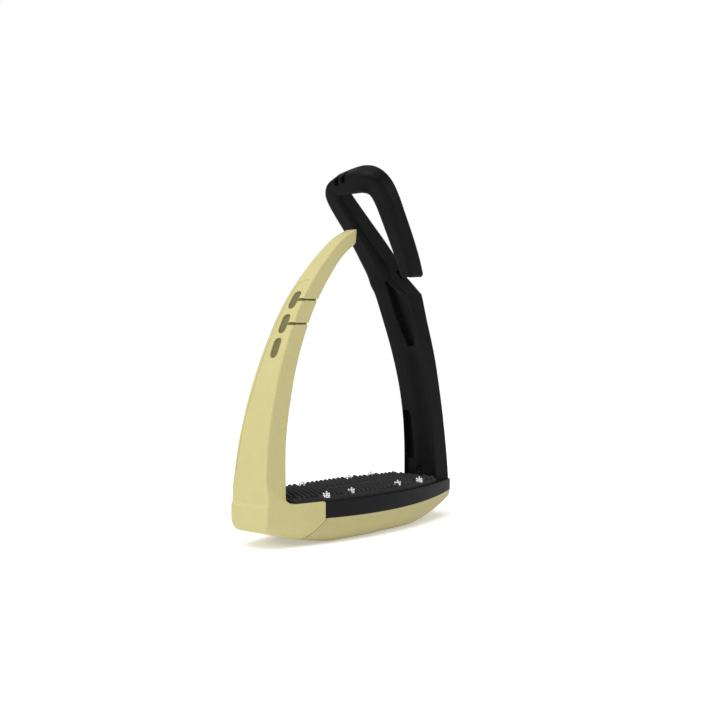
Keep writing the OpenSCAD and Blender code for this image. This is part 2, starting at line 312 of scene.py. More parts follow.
def joined(name: str, parts: Sequence[bpy.types.Object]) -> bpy.types.Object:
    """Joins several loose solids into one piece.

    Args:
        name: Name of the piece.
        parts: The solids, which are used up.

    Returns:
        The piece.
    """
    bm = bmesh.new()
    for part in parts:
        bm.from_mesh(part.data)
        bpy.data.objects.remove(part)
    data = bpy.data.meshes.new(name)
    bm.to_mesh(data)
    bm.free()
    piece = bpy.data.objects.new(name, data)
    bpy.context.scene.collection.objects.link(piece)
    return piece


def capsule(name: str, centre: Vec3, across: Vec3, along: Vec3, size: Vec3,
            steps: int = 10) -> bpy.types.Object:
    """Makes an oval plug for cutting slots and windows.

    Args:
        name: Name of the plug.
        centre: Middle of the plug, height from the tread.
        across: Direction that the plug is pushed in.
        along: Direction of its long side.
        size: Width, length and depth.
        steps: Points on each rounded end.

    Returns:
        The closed plug.
    """
    push = Vector(across).normalized()
    up = (Vector(along) - push * Vector(along).dot(push)).normalized()
    side = push.cross(up)
    width, length, depth = size
    flat = []
    for end, start in ((1.0, 0.0), (-1.0, math.pi)):
        for k in range(steps + 1):
            a = start + math.pi * k / steps
            middle = end * (length - width) / 2
            flat.append((width / 2 * math.cos(a), middle + width / 2 * math.sin(a)))
    rings = [[list(Vector(centre) + side * u + up * v + push * d) for u, v in flat]
             for d in (-depth / 2, depth / 2)]
    return lofted(name, np.array(rings))


# ---------------------------------------------------------------- finishes


MOTTLE_BAND = (0.35, 0.7)
SPECKLE_BAND = (0.5, 0.8)
GLOSS_BAND = (0.2, 0.8)
WORN_BAND = (0.515, 0.60)
SPECKLE_PER_GRAIN = 2.2
FLECK_SHADE = 0.88


@dataclass(frozen=True)
class Finish:
    """A surface finish: base colour, mottling, fine grain, gloss and worn edges."""

    name: str
    slot: Slot
    colour: Vec3
    mottle_colour: Vec3
    mottle_mm: float
    mottle_share: float
    grain_mm: float
    grain_lift_mm: float
    grain_strength: float
    roughness: tuple[float, float]
    wear_colour: Vec3
    wear_share: float
    metallic: float = 0.0
    specular: float = 0.5
    stretch: Vec3 = (1.0, 1.0, 1.0)

    def make(self) -> bpy.types.Material:
        """Lays out the nodes of the finish.

        Returns:
            The material, ready for any piece in the shared frame.
        """
        material = bpy.data.materials.new(self.name)
        material.use_nodes = True
        tree = material.node_tree
        shader = tree.nodes["Principled BSDF"]
        place = tree.nodes.new("ShaderNodeTexCoord")
        stretch = tree.nodes.new("ShaderNodeMapping")
        stretch.inputs["Scale"].default_value = self.stretch
        tree.links.new(place.outputs["Object"], stretch.inputs["Vector"])
        mottle = self._noise(tree, stretch, self.mottle_mm, 3.0)
        speckle = self._noise(tree, stretch, self.grain_mm * SPECKLE_PER_GRAIN, 2.0)
        grain = self._noise(tree, stretch, self.grain_mm, 3.0)
        mottled = self._share(tree, mottle, MOTTLE_BAND, self.mottle_share)
        tint = self._mix(tree, mottled, self.colour, self.mottle_colour)
        fleck = tuple(FLECK_SHADE * c for c in self.colour)
        speckled = self._share(tree, speckle, SPECKLE_BAND, self.mottle_share)
        spotted = self._mix(tree, speckled, None, fleck)
        tree.links.new(tint, spotted.node.inputs["A"])
        edge = tree.nodes.new("ShaderNodeNewGeometry")
        worn = self._share(tree, edge, WORN_BAND, self.wear_share, "Pointiness")
        colour = self._mix(tree, worn, None, self.wear_colour)
        tree.links.new(spotted, colour.node.inputs["A"])
        tree.links.new(colour, shader.inputs["Base Color"])
        gloss = self._share(tree, mottle, GLOSS_BAND, 1.0)
        gloss.node.inputs["To Min"].default_value = self.roughness[0]
        gloss.node.inputs["To Max"].default_value = self.roughness[1]
        tree.links.new(gloss, shader.inputs["Roughness"])
        bump = tree.nodes.new("ShaderNodeBump")
        bump.inputs["Strength"].default_value = self.grain_strength
        bump.inputs["Distance"].default_value = self.grain_lift_mm * MM
        tree.links.new(grain.outputs["Fac"], bump.inputs["Height"])
        tree.links.new(bump.outputs["Normal"], shader.inputs["Normal"])
        shader.inputs["Metallic"].default_value = self.metallic
        shader.inputs["Specular IOR Level"].default_value = self.specular
        return material

    @staticmethod
    def _noise(tree: bpy.types.NodeTree, vector: bpy.types.Node, size_mm: float,
               detail: float) -> bpy.types.Node:
        """Adds one noise.

        Args:
            tree: The material's nodes.
            vector: Node that gives the place.
            size_mm: Feature size in millimetres.
            detail: Finer layers on top of it.

        Returns:
            The noise node.
        """
        noise = tree.nodes.new("ShaderNodeTexNoise")
        noise.inputs["Scale"].default_value = 1.0 / (size_mm * MM)
        noise.inputs["Detail"].default_value = detail
        tree.links.new(vector.outputs[0], noise.inputs["Vector"])
        return noise

    @staticmethod
    def _share(tree: bpy.types.NodeTree, source: bpy.types.Node, band: Point, most: float,
               output: str = "Fac") -> bpy.types.NodeSocket:
        """Stretches a node's output between two levels.

        Args:
            tree: The material's nodes.
            source: Node whose output is stretched.
            band: Levels that become 0 and most.
            most: Highest value that comes out.
            output: Name of the output.

        Returns:
            The stretched value.
        """
        remap = tree.nodes.new("ShaderNodeMapRange")
        remap.inputs["From Min"].default_value = band[0]
        remap.inputs["From Max"].default_value = band[1]
        remap.inputs["To Max"].default_value = most
        tree.links.new(source.outputs[output], remap.inputs["Value"])
        return remap.outputs["Result"]

    @staticmethod
    def _mix(tree: bpy.types.NodeTree, share: bpy.types.NodeSocket, first: Vec3 | None,
             second: Vec3) -> bpy.types.NodeSocket:
        """Mixes two colours.

        Args:
            tree: The material's nodes.
            share: Share of the second colour.
            first: First colour, or None where it is linked later.
            second: Second colour.

        Returns:
            The mixed colour.
        """
        mix = tree.nodes.new("ShaderNodeMix")
        mix.data_type = "RGBA"
        tree.links.new(share, mix.inputs["Factor"])
        sockets = [s for s in mix.inputs if s.type == "RGBA"]
        if first is not None:
            sockets[0].default_value = (*first, 1.0)
        sockets[1].default_value = (*second, 1.0)
        return next(s for s in mix.outputs if s.type == "RGBA")


class Finishes:
    """Every finish of the stirrup, made once."""

    def __init__(self) -> None:
        """Makes the materials."""
        pale = dict(mottle_mm=9.0, mottle_share=0.5, grain_mm=0.5, grain_lift_mm=0.05,
                    grain_strength=0.28, roughness=(0.55, 0.7), wear_share=0.15, specular=0.35)
        steel = dict(mottle_mm=2.5, mottle_share=0.6, grain_mm=0.3, grain_lift_mm=0.02,
                     grain_strength=0.3, wear_share=0.5, metallic=1.0)
        self.nylon = Finish(
            "moulded_black_nylon", Slot.NYLON, (0.0042, 0.0042, 0.0048), (0.0068, 0.0066, 0.0074), 14.0,
            0.7, 0.32, 0.03, 0.35, (0.4, 0.54), (0.014, 0.0135, 0.015), 0.5, specular=0.065).make()
        self.rubber = Finish(
            "grip_rubber", Slot.PAD, (0.0050, 0.0050, 0.0056), (0.0095, 0.0095, 0.0105), 5.0,
            0.8, 0.5, 0.07, 0.5, (0.5, 0.72), (0.024, 0.024, 0.026), 0.7, specular=0.3).make()
        self.branch = Finish("branch_elastomer", Slot.BRANCH, (0.466, 0.422, 0.19), (0.496, 0.451, 0.212),
                             wear_colour=(0.59, 0.55, 0.3), **pale).make()
        # The cover's colour is kept darker than the branch's pale elastomer: painted shade for the hull's
        # downward-facing underside.
        self.cover = Finish("cover_elastomer", Slot.COVER, (0.395, 0.355, 0.158), (0.424, 0.384, 0.178),
                            wear_colour=(0.51, 0.47, 0.25), **pale).make()
        # Dark olive elastomer for the core under the windows and slits: painted shade, standing in for the
        # shade inside those recesses.
        self.painted_shade_core = Finish("painted_shade_core_elastomer", Slot.BRANCH, (0.125, 0.115, 0.04),
                            (0.16, 0.145, 0.055), wear_colour=(0.2, 0.19, 0.08), **pale).make()
        self.stud = Finish("bright_stud_steel", Slot.STUD, (0.74, 0.74, 0.75), (0.55, 0.55, 0.56),
                           roughness=(0.2, 0.38), wear_colour=(0.9, 0.9, 0.9), **steel).make()
        self.zinc = Finish("zinc_plated_steel", Slot.ZINC, (0.62, 0.63, 0.65), (0.5, 0.5, 0.48),
                           roughness=(0.28, 0.45), wear_colour=(0.85, 0.85, 0.86), **steel).make()
        self.core = Finish("core_steel", Slot.CORE, (0.45, 0.45, 0.46), (0.32, 0.31, 0.3),
                           roughness=(0.4, 0.6), wear_colour=(0.7, 0.7, 0.7), **steel).make()
        self.blade = Finish("spring_blade_steel", Slot.BLADE, (0.5, 0.5, 0.53), (0.36, 0.37, 0.42),
                            roughness=(0.25, 0.4), wear_colour=(0.8, 0.8, 0.82),
                            stretch=(1.0, 1.0, 0.1), **steel).make()
        self.brass = Finish("knurled_brass", Slot.INSERT, (0.68, 0.5, 0.22), (0.5, 0.34, 0.13),
                            roughness=(0.3, 0.5), wear_colour=(0.85, 0.68, 0.36), **steel).make()


def finish_piece(piece: bpy.types.Object, material: bpy.types.Material,
                 crease_deg: float) -> None:
    """Gives a piece its finish and its shading.

    Args:
        piece: The piece to finish.
        material: Its finish.
        crease_deg: Angle from which an edge stays sharp, in degrees.
    """
    piece.data.materials.clear()
    piece.data.materials.append(material)
    shade(piece, crease_deg)


def report(piece: bpy.types.Object, note: str) -> None:
    """Logs one finished piece."""
    log.info("%s: %d faces, %s", piece.name, len(piece.data.polygons), note)


# ---------------------------------------------------------------- shared sections


@dataclass(frozen=True)
class SectionTemplate:
    """Point layout of a rounded-rectangle section: its inner, front, outer and rear sides."""

    inner: int
    front: int
    outer: int
    rear: int
    corner: int = 5

    def layout(self) -> np.ndarray:
        """Lays the points out.

        Returns:
            Rows of (centre n, offset n, centre b, offset b) for a unit section, n from the
            inner side to the outer one and b from the front to the rear.
        """
        rows: list[tuple[float, float, float, float]] = []
        corners = ((-1, -1, math.pi), (1, -1, 1.5 * math.pi), (1, 1, 0.0), (-1, 1, 0.5 * math.pi))
        for side, (cn, cb, start) in enumerate(corners):
            count = (self.inner, self.front, self.outer, self.rear)[side]
            for k in range(count):
                t = 2.0 * k / count - 1.0
                rows.append(((-1, -1, -t, 0), (t, 0, -1, -1), (1, 1, t, 0), (-t, 0, 1, 1))[side])
            for k in range(self.corner):
                a = start + 0.5 * math.pi * k / self.corner
                rows.append((cn, math.cos(a), cb, math.sin(a)))
        return np.array(rows, float)


def section(layout: np.ndarray, half_n: float, front: float, rear: float, radius: float,
            outer_radius: float | None = None, rear_extra: float = 0.0) -> np.ndarray:
    """Sizes a section.

    Args:
        layout: Rows from SectionTemplate.layout.
        half_n: Half of the thickness between the inner and outer sides.
        front: Place of the front side.
        rear: Place of the rear side.
        radius: Corner radius on the inner side.
        outer_radius: Corner radius on the outer side, or None for the same.
        rear_extra: Added to the radius at the rear.

    Returns:
        Rows of (n, b).
    """
    outer = radius if outer_radius is None else outer_radius
    share = (layout[:, 0] + 1.0) / 2.0
    r = radius + (outer - radius) * share + rear_extra * (layout[:, 2] + 1.0) / 2.0
    middle, half_b = (front + rear) / 2.0, (rear - front) / 2.0
    n = layout[:, 0] * (half_n - r) + layout[:, 1] * r
    b = middle + layout[:, 2] * (half_b - r) + layout[:, 3] * r
    return np.stack([n, b], axis=1)


@dataclass(frozen=True)
class TreadPlan:
    """Boat-shaped plan and underside of the tread, which several pieces share."""

    half_depth: float = 26.0
    drop: float = 9.0
    end: float = 75.0
    flat_half: float = 30.0
    bilge: float = 12.0
    rim_low: float = -11.5
    foot_x: float = -42.0
    seam: Point = (-52.0, -21.0)
    seam_run: float = 7.0
    seam_gap: float = 0.22
    heel: float = 1.3
    heel_from: Point = (58.0, 75.0)
    drop_at: float = 60.0
    keel_rise: Point = (8.2, 8.6)
    keel_reach: float = 43.0
    flat_share: Point = (0.4, 0.45)
    rim_rise: float = 1.6
    rim_rise_at: float = 65.0
    side_steps: int = 6
    nose_taper: float = 12.0
    far: float = 90.0
    above: float = 12.0
    wide: float = 40.0

    def half(self, x: np.ndarray | float) -> np.ndarray | float:
        """Half depth of the tread at a station."""
        return (self.half_depth - self.drop * (x / self.drop_at) ** 2
                + self.heel * smoothstep(-x, *self.heel_from))

    def keel(self, x: float) -> float:
        """Lowest height of the underside at a station."""
        rise = self.keel_rise[0] if x < 0.0 else self.keel_rise[1]
        return -TREAD_Z + rise * (max(abs(x) - self.flat_half, 0.0) / self.keel_reach) ** 1.5

    def rim_edge(self, x: float) -> float:
        """Height where the rim meets the cover."""
        return self.rim_low + self.rim_rise * (x / self.rim_rise_at) ** 2

    def outline(self, inset: float, start: float, stop: float, step: float = 1.5) -> Line:
        """Plan outline between two stations.

        Args:
            inset: How far it is pulled in.
            start: First station.
            stop: Last station.
            step: Spacing of its points.

        Returns:
            The outline, front first.
        """
        xs = np.linspace(start, stop, max(2, round((stop - start) / step) + 1))
        front = [(float(x), float(inset - self.half(x))) for x in xs]
        rear = [(float(x), float(self.half(x) - inset)) for x in xs[::-1]]
        return tuple(front + rear)

    def hull_ring(self, x: float, inset: float, top: float, steps: int = 18) -> np.ndarray:
        """One cross ring of the underside.

        Args:
            x: Station along the tread.
            inset: How far the ring is pulled in.
            top: Height of its open side.
            steps: Points on each bilge.

        Returns:
            The ring's points.
        """
        half = self.half(x) - inset
        low = self.keel(x) + inset
        side = self.rim_edge(x)
        share = self.flat_share[0] if x < 0.0 else self.flat_share[1]
        flat = half - min(self.bilge, share * half)
        turn = [math.radians(90.0 * k / steps) for k in range(steps + 1)]
        right = [(x, flat + (half - flat) * math.cos(a), side + (low - side) * math.sin(a)) for a in turn]
        left = [(x, -y, z) for _, y, z in right[::-1]]
        rise = [side + (top - side) * k / self.side_steps for k in range(1, self.side_steps + 1)]
        return np.array([(x, half, z) for z in rise[::-1]] + right + left
                        + [(x, -half, z) for z in rise])

    def hull(self, name: str, start: float, stop: float, inset: float, top: float,
             step: float = 1.5, nose: float = 0.0) -> bpy.types.Object:
        """Lofts a closed length of the underside.

        Args:
            name: Name of the piece.
            start: First station.
            stop: Last station.
            inset: How far it is pulled in.
            top: Height of its flat top.
            step: Spacing of the rings.
            nose: Radius of the rounded right-hand end.

        Returns:
            The closed hull.
        """
        scale = (self.end - inset) / self.end
        stations = np.linspace(start, stop, round((stop - start) / step) + 1)
        rings = [self.hull_ring(float(x) * scale, inset, top) for x in stations]
        if nose > 0.0:
            last = rings[-1]
            middle = last.mean(axis=0)
            for a in (25.0, 50.0, 70.0, 85.0):
                turn = math.radians(a)
                shrink = 1 - nose / self.nose_taper * (1 - math.cos(turn))
                ring = last.copy()
                ring[:, 1] = middle[1] + (last[:, 1] - middle[1]) * shrink
                ring[:, 0] = last[:, 0] + nose * math.sin(turn)
                rings.append(ring)
        return lofted(name, np.array(rings))

    def seam_cutter(self, name: str, gap: float, keep_left: bool) -> bpy.types.Object:
        """Solid on one side of the seam between the foot and the cover.

        Args:
            name: Name of the solid.
            gap: Distance from the seam, negative to cut past it.
            keep_left: True to cut away everything right of the seam, False for the left.

        Returns:
            The solid to cut away.
        """
        sx, sz = self.seam
        dx = gap if keep_left else -gap
        far = self.far if keep_left else -self.far
        low = sz - self.seam_run
        line = ((self.foot_x + dx, self.above), (self.foot_x + dx, self.rim_low), (sx + dx, sz),
                (sx - self.seam_run + dx, low), (far, low), (far, self.above))
        return prism(name, line, -self.wide, self.wide, "y")


# ---------------------------------------------------------------- rigid branch


@dataclass(frozen=True)
class Pocket:
    """A moulded pocket in the inner face: outline in (y, height), depth, slope and wall width."""

    outline: Line
    depth: float
    tilt: float = 0.0
    wall: float = 0.7
    tilt_reach: float = 10.0

    def cut(self, y: np.ndarray, z: np.ndarray) -> np.ndarray:
        """Measures the pocket at points of the inner face.

        Args:
            y: Places across the face.
            z: Heights from the tread.

        Returns:
            The pocket's depth at each point.
        """
        at = np.stack([y, z], axis=1)
        inside = smoothstep(-outline_distance(at, self.outline), 0.0, self.wall)
        slope = 1.0 - self.tilt * np.clip((self.outline[0][0] - y) / self.tilt_reach, 0.0, 1.0)
        return self.depth * inside * slope


@dataclass
class RigidBranch:
    """The stiff inner branch, its pocketed strap and the open hook eye over it."""

    inner_line: Line = ((61.3, -6), (61, 6), (60.2, 20), (57.6, 40), (52.6, 60), (45.9, 80), (37.0, 100),
                        (31.4, 110), (28.6, 114.5))
    outer_line: Line = ((73.8, -6), (73, 8), (70.4, 30), (66.6, 50), (61.8, 70), (55, 90), (50, 105),
                        (45, 113.5))
    bottom: float = -3.0
    ledge: float = 105.0
    half_at: Vec3 = (-3.0, 30.0, 114.0)
    halves: Vec3 = (12.3, 11.3, 10.7)
    ramp_front: float = -2.0
    ramp_rise: float = 9.0
    hook_lean_deg: float = 33.0
    hook_start: Vec3 = (41.0, 1.0, 108.0)
    hook_line: tuple[tuple[float, ...], ...] = (
        (35.5, 6, 120, 15, 16), (29.5, 9.3, 130, 15, 14.4), (22.5, 11.8, 140, 14, 12.5),
        (14.5, 13.8, 150, 13, 11.8), (8.8, 14.9, 157, 12.5, 11), (6, 14.6, 161.1, 12.5, 10.4),
        (4.4, 12, 164.1, 12.5, 10), (3.9, 7, 165, 12.5, 10.8), (4.1, 0, 165.9, 12.5, 12),
        (4.7, -6.7, 166.3, 12.4, 13), (6.4, -11.3, 165, 12, 13.2), (9.2, -14.3, 161.4, 11.8, 12.2),
        (12.9, -15.7, 155, 11.6, 11.5), (18.4, -15.9, 145.5, 11.6, 10.9), (25.1, -16.1, 133.4, 11.8, 10.3),
        (31.2, -15.8, 122.6, 11.4, 9.8), (35.4, -15.3, 114.8, 10.8, 9.2), (37.4, -15, 111, 10.6, 9))
    arm_end: float = 114.0
    arm_edge: float = 2.0
    arm_turns: Vec3 = (0.5, 0.95, 1.3)
    arm_front: float = -8.8
    arm_clear: float = 2.6
    face_turn: float = 1.8
    turn_ends: tuple[Point, Point] = ((50.0, 95.0), (111.0, 130.0))
    turn_across: Point = (-6.0, 9.0)
    eye_front: float = -7.0
    spacing: float = 0.5
    template: SectionTemplate = SectionTemplate(64, 22, 14, 16, 5)
    pockets: tuple[Pocket, ...] = (
        Pocket(((0.7, 113.4), (1.2, 98), (0.2, 86), (-1.6, 74.9), (-6.7, 75.7), (-8.3, 79.6), (-8.9, 88.9),
                (-8.5, 98), (-7.4, 102.5), (-3.6, 108.2)), 4.2, 0.62),
        Pocket(((10.9, 36.6), (8.2, 37.6), (5.9, 36.8), (4.7, 34.0), (3.6, 16.0), (3.8, -2.9),
                (10.9, -2.9)), 4.6, wall=0.5))
    strap_radii: Point = (1.1, 1.3)
    outer_softer: float = 0.2
    blend_from: float = 92.0
    strap_top: float = 120.0
    insert_gap: Point = (0.35, 0.8)
    squash: float = 0.02
    rib: Line = ((-7.6, 104.0), (-8.8, 97.0), (-9.3, 89.0))
    rib_size: Point = (0.35, 0.55)
    rib_over: float = 0.4
    scoop_depth: float = 1.1
    scoop_sides: tuple[Point, Point] = ((-3.0, 6.5), (8.3, 9.6))
    scoop_ends: tuple[Point, Point] = ((-1.0, 6.0), (66.0, 82.0))
    ring_at: Point = (0.0, 2.8)
    ring_size: Vec3 = (1.2, 0.4, 0.5)
    slots: tuple[Vec3, ...] = ((-1.4, 7.2, 165.6), (-0.9, 2.4, 167.0))
    slot_along: Vec3 = (-0.5, 0.0, 0.86)
    slot_size: Vec3 = (3.0, 5.0, 7.0)
    ramp_slot: tuple[Vec3, ...] = ((39.0, -4.2, 116.6), (0.1, 1.0, -0.35), (-0.5, 0.2, 0.8),
                                   (3.0, 5.4, 6.0))

    def build(self) -> bpy.types.Object:
        """Builds the branch.

        Returns:
            The closed piece.
        """
        rings, locals_, frames = self._rings()
        rings = self._moulded(rings, locals_, frames)
        piece = lofted("rigid_branch", rings)
        self._trim_arm(piece)
        lean = math.radians(self.hook_lean_deg)
        face = (math.cos(lean), 0.0, math.sin(lean))
        for i, at in enumerate(self.slots):
            combine(piece, capsule(f"eye_slot_{i}", at, face, self.slot_along, self.slot_size), "DIFFERENCE")
        combine(piece, capsule("ramp_slot", *self.ramp_slot), "DIFFERENCE")
        return piece

    def _half(self, z: np.ndarray) -> np.ndarray:
        """Half depth of the strap at heights."""
        return np.interp(z, self.half_at, self.halves)

    def _hook_frames(self) -> list[np.ndarray]:
        """Lays out the section frames along the hook eye.

        Returns:
            Rows of place, thickness direction, width direction, half thickness, half width.
        """
        lean = math.radians(self.hook_lean_deg)
        normal = Vector((math.cos(lean), 0.0, math.sin(lean)))
        places = [Vector(q[:3]) for q in (self.hook_start, *self.hook_line)]
        rows = []
        for i, q in enumerate(self.hook_line, start=1):
            tangent = (places[min(i + 1, len(places) - 1)] - places[i - 1]).normalized()
            width = tangent.cross(normal).normalized()
            thick = width.cross(tangent)
            rows.append(np.array([*q[:3], *thick, *width, q[3] / 2, q[4] / 2]))
        return rows

    def _rings(self) -> tuple[np.ndarray, np.ndarray, np.ndarray]:
        """Lays out the sections of the strap and the hook eye.

        Returns:
            Ring points, their (n, half n) values, and the thickness direction of each ring.
        """
        layout = self.template.layout()
        inner = spline(self.inner_line, 1.0)
        outer = spline(self.outer_line, 1.0)

        def strap(z: float) -> np.ndarray:
            """Finds the section frame of the strap.

            Args:
                z: Height from the tread.

            Returns:
                Place, thickness direction, width direction, half thickness and half width.
            """
            xi = float(np.interp(z, inner[:, 1], inner[:, 0]))
            xo = float(np.interp(z, outer[:, 1], outer[:, 0]))
            half = float(self._half(np.array(z)))
            return np.array([(xi + xo) / 2, 0, z, 1, 0, 0, 0, 1, 0, (xo - xi) / 2, half])

        rows = []
        count = round((self.ledge - self.bottom) / self.spacing)
        for k in range(count):
            row = strap(self.bottom + (self.ledge - self.bottom) * k / count)
            rows.append((row, -row[10], row[10], *self.strap_radii))
        keys = [strap(self.blend_from), strap(self.ledge)] + self._hook_frames()
        dense = spline(keys, self.spacing)
        first = max(2, math.ceil(np.linalg.norm((keys[1] - keys[0])[:3]) / self.spacing))
        second = max(2, math.ceil(np.linalg.norm((keys[2] - keys[1])[:3]) / self.spacing))
        for k, row in enumerate(dense[first:]):
            front, radius = -row[10], 0.5 * min(row[9], row[10])
            if k <= second:
                climbed = min((row[2] - self.ledge) / self.ramp_rise, 1.0)
                ramp = -self.halves[2] + (self.ramp_front + self.halves[2]) * climbed
                front = ramp - row[1]
                radius = self.strap_radii[0] + (radius - self.strap_radii[0]) * k / second
            rows.append((row, front, row[10], radius, radius + self.outer_softer))
        rings, locals_, frames = [], [], []
        for row, front, rear, radius, outer_radius in rows:
            n = Vector(row[3:6]).normalized()
            b = Vector(row[6:9])
            b = (b - n * b.dot(n)).normalized()
            flat = section(layout, row[9], front, rear, radius, outer_radius)
            rings.append(row[:3] + flat[:, :1] * np.array(n) + flat[:, 1:] * np.array(b))
            locals_.append(np.stack([flat[:, 0], np.full(len(flat), row[9])], axis=1))
            frames.append(np.array(n))
        return np.array(rings), np.array(locals_), np.array(frames)

    def _moulded(self, rings: np.ndarray, locals_: np.ndarray, frames: np.ndarray) -> np.ndarray:
        """Moulds the inner face: its pockets and details, and the turned face over the ramp.

        Args:
            rings: Ring points.
            locals_: Their (n, half n) values.
            frames: Thickness direction of each ring.

        Returns:
            The changed ring points.
        """
        points = rings.reshape(-1, 3)
        n, half = locals_.reshape(-1, 2).T
        y, z = points[:, 1], points[:, 2]
        directions = np.repeat(frames, rings.shape[1], axis=0)
        index = np.repeat(np.arange(len(rings)), rings.shape[1])
        strap = index < round((self.strap_top - self.bottom) / self.spacing)
        inner_face = strap & (n < -half + 0.01)
        depth = self._depth(points, strap, inner_face)
        limit = -half + depth
        sunk = np.where(n < limit, limit + self.squash * (n - limit), n)
        raised = np.where(inner_face, depth, 0)
        moved = np.where(np.abs(depth) > 1e-4, np.where(depth > 0, sunk - n, raised), 0.0)
        climbing = strap | (y > self.eye_front)
        moved = moved - np.where(climbing, self._turned(y, z) * (1.0 - n / half) / 2.0, 0.0)
        return (points + directions * moved[:, None]).reshape(rings.shape)

    def _depth(self, points: np.ndarray, strap: np.ndarray, inner_face: np.ndarray) -> np.ndarray:
        """Adds up the pockets, the scoop and the ring, less the raised rib.

        Args:
            points: Ring points.
            strap: True on the strap.
            inner_face: True on the strap's inner face.

        Returns:
            The depth at each point.
        """
        y, z = points[:, 1], points[:, 2]
        depth = np.zeros(len(points))
        for pocket in self.pockets:
            depth = np.maximum(depth, np.where(strap, pocket.cut(y, z), 0.0))
        depth = np.where(strap, self._cleared(points, depth), depth)
        scoop = smoothstep(-y, *self.scoop_sides[0]) * (1.0 - smoothstep(-y, *self.scoop_sides[1]))
        scoop = self.scoop_depth * scoop * smoothstep(z, *self.scoop_ends[0])
        scoop = scoop * (1.0 - smoothstep(z, *self.scoop_ends[1]))
        depth = np.maximum(depth, np.where(inner_face, scoop, 0.0))
        lift, width = self.rib_size
        away = outline_distance(np.stack([y, z], axis=1), self.rib, closed=False)
        shallow = inner_face & (depth < self.rib_over)
        depth -= np.where(shallow, lift * np.exp(-(away / width) ** 2), 0.0)
        radius, width, sunk = self.ring_size
        away = np.hypot(y - self.ring_at[0], z - self.ring_at[1])
        depth += np.where(inner_face, sunk * np.exp(-((away - radius) / width) ** 2), 0.0)
        return depth

    def _turned(self, y: np.ndarray, z: np.ndarray) -> np.ndarray:
        """Measures how far the inner face is shifted where it turns.

        Args:
            y: Places across the face.
            z: Heights from the tread.

        Returns:
            The shift at each point.
        """
        start, stop = self.turn_ends
        turned = smoothstep(z, *start) * (1.0 - smoothstep(z, *stop)) * smoothstep(y, *self.turn_across)
        return self.face_turn * turned

    def _cleared(self, points: np.ndarray, depth: np.ndarray) -> np.ndarray:
        """Keeps the pockets off the threaded inserts in the strap's foot.

        Args:
            points: Ring points.
            depth: Wanted depth at each point.

        Returns:
            The depth, shallower over an insert.
        """
        low, high = (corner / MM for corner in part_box("inner_branch_inserts"))
        beside, over = self.insert_gap
        top = high.z - TREAD_Z + over
        room = np.maximum(low.x - beside - points[:, 0], 0.0)
        return np.where(points[:, 2] < top, np.minimum(depth, room), depth)

    def _trim_arm(self, piece: bpy.types.Object) -> None:
        """Cuts the arm's end level and rounds it.

        Args:
            piece: The branch.
        """
        level = (self.arm_end + self.arm_edge + TREAD_Z) * MM
        free = (self.ledge + self.arm_clear + TREAD_Z) * MM
        ahead = self.arm_front * MM

        def trim(bm: bmesh.types.BMesh) -> None:
            """Cuts only the arm, which stands in front of the strap.

            Args:
                bm: The branch's mesh.
            """
            front = [f for f in bm.faces if f.calc_center_median().y < ahead
                     and f.calc_center_median().z > free]
            edges = dict.fromkeys(e for f in front for e in f.edges)
            verts = dict.fromkeys(v for f in front for v in f.verts)
            bmesh.ops.bisect_plane(bm, geom=[*verts, *edges, *front],
                                   plane_co=(0, 0, level), plane_no=(0, 0, -1))
            low = [v for v in bm.verts if free < v.co.z < level - 1e-7 and v.co.y < ahead]
            bmesh.ops.delete(bm, geom=low, context="VERTS")
            rim = [e for e in bm.edges if e.is_boundary]
            ring = dict.fromkeys(v for e in rim for v in e.verts)
            middle = sum((v.co for v in ring), Vector()) / len(ring)
            reach = max((v.co - middle).length for v in ring)
            before = 0.0
            for turn in self.arm_turns:
                grown = bmesh.ops.extrude_edge_only(bm, edges=rim)["geom"]
                rim = [e for e in grown if isinstance(e, bmesh.types.BMEdge)]
                inset = self.arm_edge * MM * (math.cos(before) - math.cos(turn)) / reach
                drop = self.arm_edge * MM * (math.sin(turn) - math.sin(before))
                for v in (v for v in grown if isinstance(v, bmesh.types.BMVert)):
                    v.co = v.co.lerp(Vector((middle.x, middle.y, v.co.z)), inset)
                    v.co.z -= drop
                before = turn
            bmesh.ops.contextual_create(bm, geom=rim)
            bmesh.ops.recalc_face_normals(bm, faces=bm.faces)

        with_bmesh(piece, trim)

    def dress(self, finishes: Finishes) -> bpy.types.Object:
        """Builds the branch and gives it its finish.

        Args:
            finishes: The shared finishes.

        Returns:
            The finished piece.
        """
        piece = self.build()
        finish_piece(piece, finishes.nylon, 34.0)
        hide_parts("inner_branch")
        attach(piece, Body.STIRRUP.value)
        report(piece, "strap, bar and hook arm")
        return piece


# ---------------------------------------------------------------- flexible branch


